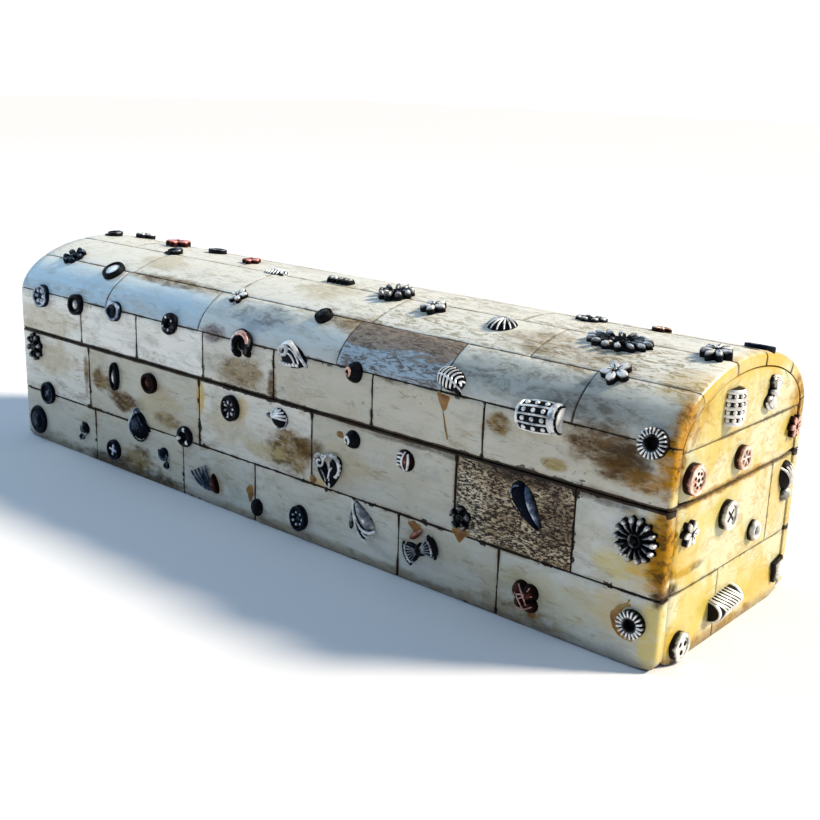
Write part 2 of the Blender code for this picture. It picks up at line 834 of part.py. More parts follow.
def add_vault_studs(face, silver):
    """The vault's larger studs. Its small ones are returned, for casting on to the crown."""

    def at(along, over, turn=0.0):
        return Seat(face, along, over, turn)

    add_flower("stud_vault_scalloped", at(0.067, 0.287), 0.0078, 0.0074, 7, 0.0018, silver, 0.2)
    add_ring("stud_vault_ring", at(0.171, 0.258), 0.0070, 0.0070, 0.0018, silver)
    add_flower("stud_vault_five_petals", at(0.411, 0.264), 0.0056, 0.0056, 5, 0.0016, silver)
    add_dome("stud_vault_dome", at(0.553, 0.258), 0.0048, 0.0048, 0.0024, silver)
    add_flower("stud_vault_right_flower", at(0.915, 0.274), 0.0068, 0.0066, 5, 0.0018, silver)
    add_rosette("stud_crown_round_flower", at(0.594, 0.432), 0.0096, 0.0096, 8, 0.0024, silver)
    ribbed = petalled(0.0080, 0.0068, 7, 0.1)
    add_pillow("stud_crown_ribbed_dome", at(0.756, 0.378), ribbed, 14, 0.0017, silver, 7, 0.3)
    add_rosette("stud_crown_oval_rosette", at(0.886, 0.400), 0.0164, 0.0086, 10, 0.0018, silver)
    add_flower("stud_crown_right_flower", at(0.978, 0.431), 0.0070, 0.0070, 7, 0.0022, silver)
    return [
        (at(0.020, 0.490), 0.0080, 0.0056, 4, 0.0014),
        (at(0.052, 0.595), 0.0066, 0.0066, 5, 0.0018),
        (at(0.156, 0.540), 0.0080, 0.0068, 5, 0.0018),
        (at(0.200, 0.440), 0.0080, 0.0046, 4, 0.0014),
        (at(0.238, 0.520), 0.0070, 0.0046, 4, 0.0014),
        (at(0.328, 0.470), 0.0062, 0.0062, 5, 0.0014),
        (at(0.398, 0.440), 0.0086, 0.0046, 4, 0.0010),
        (at(0.499, 0.456), 0.0090, 0.0048, 4, 0.0018),
        (at(0.664, 0.388), 0.0070, 0.0066, 5, 0.0020),
        (at(0.817, 0.535), 0.0084, 0.0076, 5, 0.0016),
        (at(0.895, 0.510), 0.0080, 0.0066, 5, 0.0018),
        (at(0.972, 0.550), 0.0082, 0.0070, 5, 0.0016),
    ]


def add_right_end_studs(tray_end, lid_end, silver, copper):
    def low(depth, up, turn=0.0):
        return Seat(tray_end, depth, up, turn)

    def high(depth, up, turn=0.0):
        return Seat(lid_end, depth, up, turn)

    add_ring("stud_end_button", high(0.078, 0.480), 0.0066, 0.0066, 0.0020, silver, 0.3)
    add_coin("stud_end_copper_wheel", high(0.474, 0.450), 0.0054, 0.0054, 0.0018, copper)
    barrel = ((0.0, 0.7), (0.12, 0.9), (0.36, 1.0), (0.50, 0.84), (0.64, 1.0), (0.88, 0.9), (1.0, 0.7))
    rise = 0.9 * STUD_RISE
    add_bead("stud_end_carved_barrel", high(0.352, 1.580, 90), 0.0076, 0.0062, rise, barrel, silver)
    wings = bow(0.0078, 0.0060)
    add_pillow("stud_end_butterfly", high(0.690, 1.540, 65), wings, 14, 0.0022, silver, 7, 0.25)
    add_flower("stud_end_spiked_flower", low(0.088, 0.826), 0.0058, 0.0060, 6, 0.0018, silver)
    add_coin("stud_end_cross_coin", low(0.398, 0.812), 0.0062, 0.0066, 0.0018, silver)
    drop = teardrop(0.0062, 0.0104)
    add_pillow("stud_end_ribbed_drop", low(0.935, 0.826, 12), drop, 12, 0.0022, silver, 3, 0.1)
    half_block = ((0.0, 0.85), (0.02, 0.95), (0.32, 1.0), (0.36, 0.9))
    block = half_block + tuple((1.0 - along, girth) for along, girth in reversed(half_block))
    add_bead("stud_end_chevron_block", low(0.436, 0.212, 6), 0.0110, 0.0056, STUD_RISE, block, silver)
    add_coin("stud_end_low_coin", low(0.098, 0.110), 0.0062, 0.0062, 0.0018, silver)


def staggered_studs(face, count, low, high, rise):
    """Plain round studs in two staggered rows, for a side that is turned away."""
    studs = []
    for index in range(count):
        seat = Seat(face, (index + 0.5) / count, low if index % 2 else high)
        studs.append((seat, PLAIN_STUD_WIDTH, PLAIN_STUD_WIDTH, 0, rise))
    return studs


def build_box():
    clear_scene()
    wood = make_material("wood", WOOD_COLOUR, 0.65, 0.0)
    bone = make_material("bone", BONE_COLOUR, 0.42, 0.0)
    silver = make_material("antiqued_silver", SILVER_COLOUR, 0.38, 1.0)
    copper = make_material("copper", COPPER_COLOUR, 0.42, 1.0)

    lid = LidFace()
    front, back = long_face(-1), long_face(1)
    tray_right = end_face(1, 0.0, SEAM_LOW)
    tray_left = end_face(-1, 0.0, SEAM_LOW)
    lid_right = end_face(1, SEAM_HIGH, LID_WALL_HEIGHT)
    lid_left = end_face(-1, SEAM_HIGH, LID_WALL_HEIGHT)

    add_tray_carcass(wood)
    add_lid_carcass(lid, wood)

    split = LOWER_COURSE_HEIGHT
    front_plaques = flat_facing(
        "tray_front_plaques", front, split, TRAY_FRONT_LOWER_JOINTS, TRAY_FRONT_UPPER_JOINTS, bone
    )
    back_plaques = flat_facing(
        "tray_back_plaques", back, split, HIDDEN_JOINTS, HIDDEN_JOINTS[1:3], bone
    )
    right_plaques = flat_facing(
        "tray_right_plaques", tray_right, split, END_LOWER_JOINTS, END_UPPER_JOINTS, bone
    )
    left_plaques = flat_facing(
        "tray_left_plaques", tray_left, split, END_LOWER_JOINTS, END_UPPER_JOINTS, bone
    )

    limits = [lid.vault_share(share) for share in VAULT_COURSES]
    half_gap = CONTACT_GAP / 2
    vault_facing(
        "lid_front_plaques",
        lid,
        [half_gap, limits[0], limits[1] - half_gap],
        [LID_FRONT_JOINTS, VAULT_FRONT_JOINTS],
        bone,
    )
    crown_plaques = vault_facing(
        "crown_plaques",
        lid,
        [limits[1] + half_gap, limits[2], limits[3], limits[4] - half_gap],
        [CROWN_FRONT_JOINTS, CROWN_RIDGE_JOINTS, HIDDEN_JOINTS],
        bone,
    )
    lid_back_plaques = vault_facing(
        "lid_back_plaques",
        lid,
        [limits[4] + half_gap, limits[5], lid.height - half_gap],
        [HIDDEN_JOINTS[1:3], HIDDEN_JOINTS],
        bone,
    )
    lid_right_plaques = lid_end_facing("lid_right_plaques", lid_right, lid, 1, bone)
    lid_left_plaques = lid_end_facing("lid_left_plaques", lid_left, lid, -1, bone)

    add_tray_front_studs(front, silver, copper)
    add_lid_front_studs(lid, silver, copper)
    crown_studs = add_vault_studs(lid, silver)
    add_right_end_studs(tray_right, lid_right, silver, copper)

    front_studs = [
        (Seat(front, 0.632, 0.892), 0.0054, 0.0054, 5, 0.0018),
        (Seat(front, 0.705, 0.850), 0.0060, 0.0060, 6, 0.0016),
        (Seat(front, 0.780, 0.586), 0.0062, 0.0062, 5, 0.0016),
        (Seat(front, 0.314, 0.256), 0.0056, 0.0056, 5, 0.0012),
        (Seat(front, 0.484, 0.104), 0.0050, 0.0050, 5, 0.0018),
        (Seat(front, 0.554, 0.162), 0.0068, 0.0068, 5, 0.0018),
    ]
    cast_on(front_plaques, "tray_front_plaques.studs", front_studs, bone)
    cast_on(crown_plaques, "crown_plaques.studs", crown_studs, bone)
    end_studs = [
        (Seat(tray_right, 0.610, 0.600), 0.0050, 0.0050, 5, 0.0014),
        (Seat(tray_right, 0.940, 0.220), 0.0056, 0.0056, 4, 0.0016),
    ]
    cast_on(right_plaques, "tray_right_plaques.studs", end_studs, bone)
    lid_end_studs = [(Seat(lid_right, 0.935, 0.620), 0.0064, 0.0064, 6, 0.0016)]
    cast_on(lid_right_plaques, "lid_right_plaques.studs", lid_end_studs, bone)
    cast_on(
        back_plaques,
        "tray_back_plaques.studs",
        staggered_studs(back, 12, 0.22, 0.78, STUD_RISE),
        bone,
    )
    cast_on(
        lid_back_plaques,
        "lid_back_plaques.studs",
        staggered_studs(lid, 8, 0.86, 0.93, STUD_RISE * 0.6),
        bone,
    )
    cast_on(
        left_plaques,
        "tray_left_plaques.studs",
        staggered_studs(tray_left, 4, 0.24, 0.76, STUD_RISE),
        bone,
    )
    cast_on(
        lid_left_plaques,
        "lid_left_plaques.studs",
        staggered_studs(lid_left, 1, 0.45, 0.45, STUD_RISE),
        bone,
    )


build_box()
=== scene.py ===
"""The finish of the bone inlay trinket box: plaques, studs, joints, stains, light and camera.

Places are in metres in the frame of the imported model, and X runs along the box, its front faces -Y
and Z is up. The stains and the stud forms are given in millimetres.
"""

import math
from functools import partial

import bmesh
import bpy
from mathutils import Matrix, Vector, noise


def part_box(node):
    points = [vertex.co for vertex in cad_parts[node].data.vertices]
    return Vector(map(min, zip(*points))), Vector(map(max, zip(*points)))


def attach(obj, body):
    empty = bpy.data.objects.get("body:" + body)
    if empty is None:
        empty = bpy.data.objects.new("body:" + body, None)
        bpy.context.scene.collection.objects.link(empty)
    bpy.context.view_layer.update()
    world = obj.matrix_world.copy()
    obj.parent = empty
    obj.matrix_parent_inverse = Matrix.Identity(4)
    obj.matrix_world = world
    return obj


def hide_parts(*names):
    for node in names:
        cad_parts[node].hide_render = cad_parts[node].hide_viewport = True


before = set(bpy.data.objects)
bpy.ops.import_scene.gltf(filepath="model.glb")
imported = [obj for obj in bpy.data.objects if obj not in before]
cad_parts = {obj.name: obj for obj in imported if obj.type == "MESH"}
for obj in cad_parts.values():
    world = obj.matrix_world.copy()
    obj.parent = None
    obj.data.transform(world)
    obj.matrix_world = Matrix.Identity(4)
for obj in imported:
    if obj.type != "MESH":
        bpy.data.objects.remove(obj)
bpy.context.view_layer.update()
noise.seed_set(7)  # otherwise noise_vector follows the clock

# The box over its bone, worked out from the wooden carcasses in the frame
MM = 0.001
BONE_THICKNESS = 3 * MM
CONTACT_GAP = 0.3 * MM
LID_WALL_HEIGHT = 11 * MM
VAULT_RISE = 16 * MM
COURSE_SPLIT = 16 * MM

carcass_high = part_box("tray_carcass")[1]
HALF_LENGTH = carcass_high[0] + BONE_THICKNESS + CONTACT_GAP
HALF_DEPTH = carcass_high[1] + BONE_THICKNESS + CONTACT_GAP
LENGTH = 2 * HALF_LENGTH
SEAM_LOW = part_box("tray_left_plaques")[1][2]
SEAM_HIGH = SEAM_LOW + CONTACT_GAP
SPRING_HEIGHT = (SEAM_LOW + SEAM_HIGH) / 2 + LID_WALL_HEIGHT

# How the plaques are sawn and worn
JOINT_GAP = 0.27 * MM
FINE_GAP = 0.20 * MM
BEVEL_SHARE = 0.8
HALF_MOON_BEVEL = 0.28 * MM
CORNER_ROUND = 1.4 * MM
FOOT_ROUND = 3.0 * MM
GRIME_MARGIN = 1.0 * MM
WAVER = 0.13 * MM
WAVER_PITCH = 90
SWELL = 0.07 * MM
SWELL_PITCH = 60
SLIP_LIFT = 0.10 * MM
SEAM_SOIL_REACH = 0.6 * MM
END_DIRT = 0.45
MASTIC_DEPTH = 0.45 * MM
MASTIC_INSET = 1.4 * MM
MASTIC_CUTS = 30

# Joints as shares of the length from the left, and of an end's depth from its left
TRAY_FRONT_UPPER = (0.157, 0.380, 0.570, 0.770, 0.907)
TRAY_FRONT_LOWER = (0.167, 0.348, 0.478, 0.698, 0.826)
LID_FRONT = (0.143, 0.261, 0.388, 0.509, 0.657, 0.800)
VAULT_FRONT = (0.196, 0.378, 0.604, 0.746, 0.896)
CROWN_FRONT = (0.204, 0.400, 0.617, 0.820)
CROWN_RIDGE = (0.120, 0.330, 0.540, 0.765)
CROWN_BACK = (0.190, 0.430, 0.640, 0.845)
VAULT_BACK = (0.285, 0.520, 0.740)
LID_BACK = (0.165, 0.370, 0.605, 0.830)
TRAY_BACK_LOWER = (0.190, 0.355, 0.560, 0.775)
TRAY_BACK_UPPER = (0.255, 0.480, 0.665, 0.870)
END_UPPER = (0.80,)
END_LOWER = (0.39,)
COURSE_SHARES = (0.027, 0.207, 0.408, 0.592, 0.793, 0.973)


# Working on a single piece


def choose_only(piece):
    bpy.ops.object.select_all(action="DESELECT")
    piece.select_set(True)
    bpy.context.view_layer.objects.active = piece


def open_piece(piece, kind, chosen):
    """Into edit mode, with only those faces or edges selected that pass the test."""
    choose_only(piece)
    bpy.ops.object.mode_set(mode="EDIT")
    bpy.ops.mesh.select_mode(type=kind)
    pick(piece, kind, chosen)


def pick(piece, kind, chosen):
    bpy.ops.mesh.select_all(action="DESELECT")
    mesh = bmesh.from_edit_mesh(piece.data)
    for part in mesh.faces if kind == "FACE" else mesh.edges:
        if chosen(part):
            part.select_set(True)
    bmesh.update_edit_mesh(piece.data)


def close_piece():
    bpy.ops.object.mode_set(mode="OBJECT")


def settle(piece):
    """The piece's place, turn and scale go into its mesh."""
    choose_only(piece)
    bpy.ops.object.transform_apply(location=True, rotation=True, scale=True)
    return piece


def newly(add, **sizes):
    """A new primitive, selected alone, with its place and size in its mesh."""
    bpy.ops.object.select_all(action="DESELECT")
    add(**sizes)
    return settle(bpy.context.object)


def smooth(piece, angle=35):
    choose_only(piece)
    bpy.ops.object.shade_smooth_by_angle(angle=math.radians(angle))


def rename(piece, name):
    piece.name = name
    piece.data.name = name
    return piece


def keep(piece, finish):
    """The finished piece gets its material and rides on the box."""
    piece.data.materials.clear()
    piece.data.materials.append(finish)
    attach(piece, "root")


def any_part(_):
    return True


def is_rim(edge):
    """The edge between the upper face of a flat piece and its upright sides."""
    faces = edge.link_faces
    return any(face.normal.z > 0.9 for face in faces) and any(abs(face.normal.z) < 0.1 for face in faces)


# The faces of the box. Flat work, on X and Y with Z out of the bone, is carried over to one of them


class FlatSide:
    """An upright side: along runs from its own left, across runs up from the floor."""

    def __init__(self, start, direction, outward, length, height):
        self.start = Vector(start)
        self.along = Vector(direction)
        self.outward = Vector(outward)
        self.length = length
        self.height = height

    def point(self, x, y, z):
        return self.start + self.along * x + Vector((0, 0, y)) + self.outward * z

    def directions(self, _):
        """The way along, up and out, which is the same at every height."""
        return self.along, Vector((0, 0, 1)), self.outward


class LidSkin:
    """The lid from seam to seam: across runs up its front, over the vault and down its back."""

    STEPS = 720

    def __init__(self):
        self.angles = [math.pi * step / self.STEPS for step in range(self.STEPS + 1)]
        self.runs = [0.0]
        for before, after in zip(self.angles, self.angles[1:]):
            self.runs.append(self.runs[-1] + (self.vault(after) - self.vault(before)).length)
        self.arc = self.runs[-1]
        self.length = LENGTH
        self.height = self.arc + 2 * LID_WALL_HEIGHT

    @staticmethod
    def vault(angle):
        return Vector((-HALF_DEPTH * math.cos(angle), SPRING_HEIGHT + VAULT_RISE * math.sin(angle)))

    def section(self, y):
        """The point and the outward direction, in the world's Y and Z, at a way up the skin."""
        arc = y - LID_WALL_HEIGHT
        if arc <= 0:
            return Vector((-HALF_DEPTH, SPRING_HEIGHT + arc)), Vector((-1, 0))
        if arc >= self.arc:
            return Vector((HALF_DEPTH, SPRING_HEIGHT - arc + self.arc)), Vector((1, 0))
        low, high = 0, self.STEPS
        while high - low > 1:
            middle = (low + high) // 2
            low, high = (middle, high) if self.runs[middle] <= arc else (low, middle)
        share = (arc - self.runs[low]) / (self.runs[high] - self.runs[low])
        angle = self.angles[low] + share * (self.angles[high] - self.angles[low])
        outward = Vector((-math.cos(angle) / HALF_DEPTH, math.sin(angle) / VAULT_RISE))
        return self.vault(angle), outward.normalized()

    def point(self, x, y, z):
        place, outward = self.section(y)
        place = place + outward * z
        return Vector((x - HALF_LENGTH, place.x, place.y))

    def directions(self, y):
        """The way along, up and out, at a way up the skin."""
        outward = self.section(y)[1]
        up = Vector((0, outward.y, -outward.x))
        return Vector((1, 0, 0)), up, Vector((0, outward.x, outward.y))


END_INSET = BONE_THICKNESS + CONTACT_GAP
END_DEPTH = 2 * (HALF_DEPTH - END_INSET)


def end_side(side, low, height):
    start = (side * HALF_LENGTH, side * (END_INSET - HALF_DEPTH), low)
    return FlatSide(start, (0, side, 0), (side, 0, 0), END_DEPTH, height)


FRONT = FlatSide((-HALF_LENGTH, -HALF_DEPTH, 0), (1, 0, 0), (0, -1, 0), LENGTH, SEAM_LOW)
BACK = FlatSide((HALF_LENGTH, HALF_DEPTH, 0), (-1, 0, 0), (0, 1, 0), LENGTH, SEAM_LOW)
RIGHT = end_side(1, 0, SEAM_LOW)
LEFT = end_side(-1, 0, SEAM_LOW)
LID_RIGHT = end_side(1, SEAM_HIGH, LID_WALL_HEIGHT)
LID_LEFT = end_side(-1, SEAM_HIGH, LID_WALL_HEIGHT)
LID = LidSkin()
COURSES = [0.0, *(LID_WALL_HEIGHT + share * LID.arc for share in COURSE_SHARES), LID.height]


def carry_over(piece, side):
    """Lays a flat piece on a side of the box."""
    for vertex in piece.data.vertices:
        vertex.co = side.point(*vertex.co)
    piece.data.update()


# Finishes


class Finish:
    """A material, with a short call for each kind of node that these finishes share."""

    BLOT_CORE = 0.42

    def __init__(self, name, roughness=0.5, metallic=0.0):
        self.material = bpy.data.materials.new(name)
        self.material.use_nodes = True
        self.nodes = self.material.node_tree.nodes
        self.links = self.material.node_tree.links
        self.shader = self.nodes["Principled BSDF"]
        self.even({"Roughness": roughness, "Metallic": metallic})
        self.place = self.nodes.new("ShaderNodeTexCoord").outputs["Object"]

    def even(self, values):
        """Values of the shader that are the same all over the surface."""
        for name, value in values.items():
            self.shader.inputs[name].default_value = value

    def waxy(self, weight, radius, depth):
        """Light goes a little way in, furthest where it is red."""
        self.even({"Subsurface Weight": weight, "Subsurface Radius": radius, "Subsurface Scale": depth})

    def feed(self, socket, value):
        if isinstance(value, bpy.types.NodeSocket):
            self.links.new(value, socket)
        else:
            socket.default_value = value

    def stretched(self, scale, shift=(0, 0, 0)):
        """The place on the box, scaled for a pattern of so many repeats a metre each way."""
        node = self.nodes.new("ShaderNodeMapping")
        node.inputs["Scale"].default_value = scale
        node.inputs["Location"].default_value = shift
        self.links.new(self.place, node.inputs["Vector"])
        return node.outputs["Vector"]

    def noise(self, scale, detail=3.0, roughness=0.55, twist=0.0, shift=(0, 0, 0)):
        node = self.nodes.new("ShaderNodeTexNoise")
        self.links.new(self.stretched(scale, shift), node.inputs["Vector"])
        node.inputs["Scale"].default_value = 1.0
        node.inputs["Detail"].default_value = detail
        node.inputs["Roughness"].default_value = roughness
        node.inputs["Distortion"].default_value = twist
        return node.outputs["Fac"]

    def attribute(self, name):
        node = self.nodes.new("ShaderNodeAttribute")
        node.attribute_name = name
        return node.outputs["Fac"]

    def axes(self):
        """The place on the box along X, Y and Z."""
        node = self.nodes.new("ShaderNodeSeparateXYZ")
        self.links.new(self.place, node.inputs["Vector"])
        return [node.outputs[axis] for axis in "XYZ"]

    def between(self, value, low, high, new_low=0.0, new_high=1.0):
        """A value spread from one range to another, with soft ends."""
        node = self.nodes.new("ShaderNodeMapRange")
        node.interpolation_type = "SMOOTHSTEP"
        self.feed(node.inputs["Value"], value)
        ranges = {"From Min": low, "From Max": high, "To Min": new_low, "To Max": new_high}
        for name, amount in ranges.items():
            node.inputs[name].default_value = amount
        return node.outputs["Result"]

    def maths(self, kind, *values):
        node = self.nodes.new("ShaderNodeMath")
        node.operation = kind
        for socket, value in zip(node.inputs, values):
            self.feed(socket, value)
        return node.outputs["Value"]

    def plus(self, first, second):
        return self.maths("ADD", first, second)

    def times(self, first, second):
        return self.maths("MULTIPLY", first, second)

    def larger(self, first, second):
        return self.maths("MAXIMUM", first, second)

    def vector_maths(self, kind, *values):
        node = self.nodes.new("ShaderNodeVectorMath")
        node.operation = kind
        for socket, value in zip(node.inputs, values):
            self.feed(socket, value)
        return node.outputs["Value" if kind == "LENGTH" else "Vector"]

    def mix(self, share, under, over):
        node = self.nodes.new("ShaderNodeMix")
        node.data_type = "RGBA"
        self.feed(node.inputs["Factor"], share)
        for socket, colour in ((node.inputs[6], under), (node.inputs[7], over)):
            self.feed(socket, colour if isinstance(colour, bpy.types.NodeSocket) else (*colour, 1.0))
        return node.outputs[2]

    def tinted(self, under, over, value, start, full, strength=1.0):
        """Lays a colour over another, from where a value starts to count to where it counts in full."""
        return self.mix(self.between(value, start, full, 0.0, strength), under, over)

    def ragged(self, grain, strength):
        """Noise about 0, which breaks up the edges of stains."""
        return self.maths("MULTIPLY_ADD", self.noise(grain, 4.0, 0.65), strength, -strength / 2)

    def blot(self, middle, reach, edge):
        """1 in the middle of a stain, 0 beyond its reach, with a ragged edge."""
        away = self.vector_maths("SUBTRACT", self.place, middle)
        away = self.vector_maths("MULTIPLY", away, [1 / size for size in reach])
        away = self.plus(self.vector_maths("LENGTH", away), edge)
        return self.between(away, 1.0, self.BLOT_CORE)

    def bump(self, height, depth, strength=1.0, before=None):
        node = self.nodes.new("ShaderNodeBump")
        node.inputs["Strength"].default_value = strength
        node.inputs["Distance"].default_value = depth
        self.links.new(height, node.inputs["Height"])
        if before is not None:
            self.links.new(before, node.inputs["Normal"])
        return node.outputs["Normal"]

    def done(self, colour, roughness=None, normal=None):
        self.links.new(colour, self.shader.inputs["Base Color"])
        if roughness is not None:
            self.links.new(roughness, self.shader.inputs["Roughness"])
        if normal is not None:
            self.links.new(normal, self.shader.inputs["Normal"])
        return self.material


def front_place(share, height):
    """The place on the tray's front, for a stain: a share of the length and a height in mm."""
    return Vector((share * LENGTH - HALF_LENGTH, -HALF_DEPTH, height * MM))


def lid_place(share, across):
    """The place on the lid's skin: a share of the length and mm from the front seam."""
    return LID.point(share * LENGTH, across * MM, 0)


def back_place(share, height):
    """The place on the back: a share of the length from the left end as seen from the front."""
    return Vector((share * LENGTH - HALF_LENGTH, HALF_DEPTH, height * MM))


def left_place(across, height):
    """The place on the left end: mm from the front, and a height in mm."""
    return Vector((-HALF_LENGTH, across * MM - HALF_DEPTH, height * MM))


def right_place(across, height):
    """The place on the right end: mm from the front, and a height in mm."""
    return Vector((HALF_LENGTH, across * MM - HALF_DEPTH, height * MM))


# Colours of the bone itself, and of what has soaked into it. Some also carry painted light: the grey base
# bone is partly painted shade, the crown bone partly painted sunlight, the blue bone partly painted sky
# light and the end bone partly painted warm sunlight.
# The base bone, greyed partly as painted shade on the sides out of the sun
GREY_BONE_AND_SHADE = (0.62, 0.63, 0.58)
WARM_BONE = (0.51, 0.48, 0.37)
COOL_BONE = (0.64, 0.69, 0.69)
# Partly the bone's own blue-grey, partly painted blue sky light on the vault's shoulder
BLUE_BONE_AND_SKY_SHEEN = (0.41, 0.62, 0.78)
DULL_BONE = (0.56, 0.49, 0.34)
CREAM_BONE = (1.0, 0.97, 0.88)
# The crown's cream, partly painted sunlight on the top
CROWN_BONE_AND_SUNLIGHT = (0.97, 0.93, 0.81)
# The right end's yellow, partly stain and partly painted warm sunlight
END_BONE_AND_SUNLIGHT = (0.62, 0.59, 0.34)
BACK_BONE = (0.33, 0.31, 0.23)
BROWN = (0.125, 0.062, 0.014)
UMBER = (0.28, 0.175, 0.055)
TAN = (0.49, 0.39, 0.18)
GREY = (0.38, 0.43, 0.42)
AMBER = (0.62, 0.38, 0.02)
BURNT = (0.42, 0.19, 0.004)
SOOT = (0.022, 0.016, 0.011)
YELLOW = (0.60, 0.48, 0.10)
DARKEST_OF_PALE_STAINS = 0.45

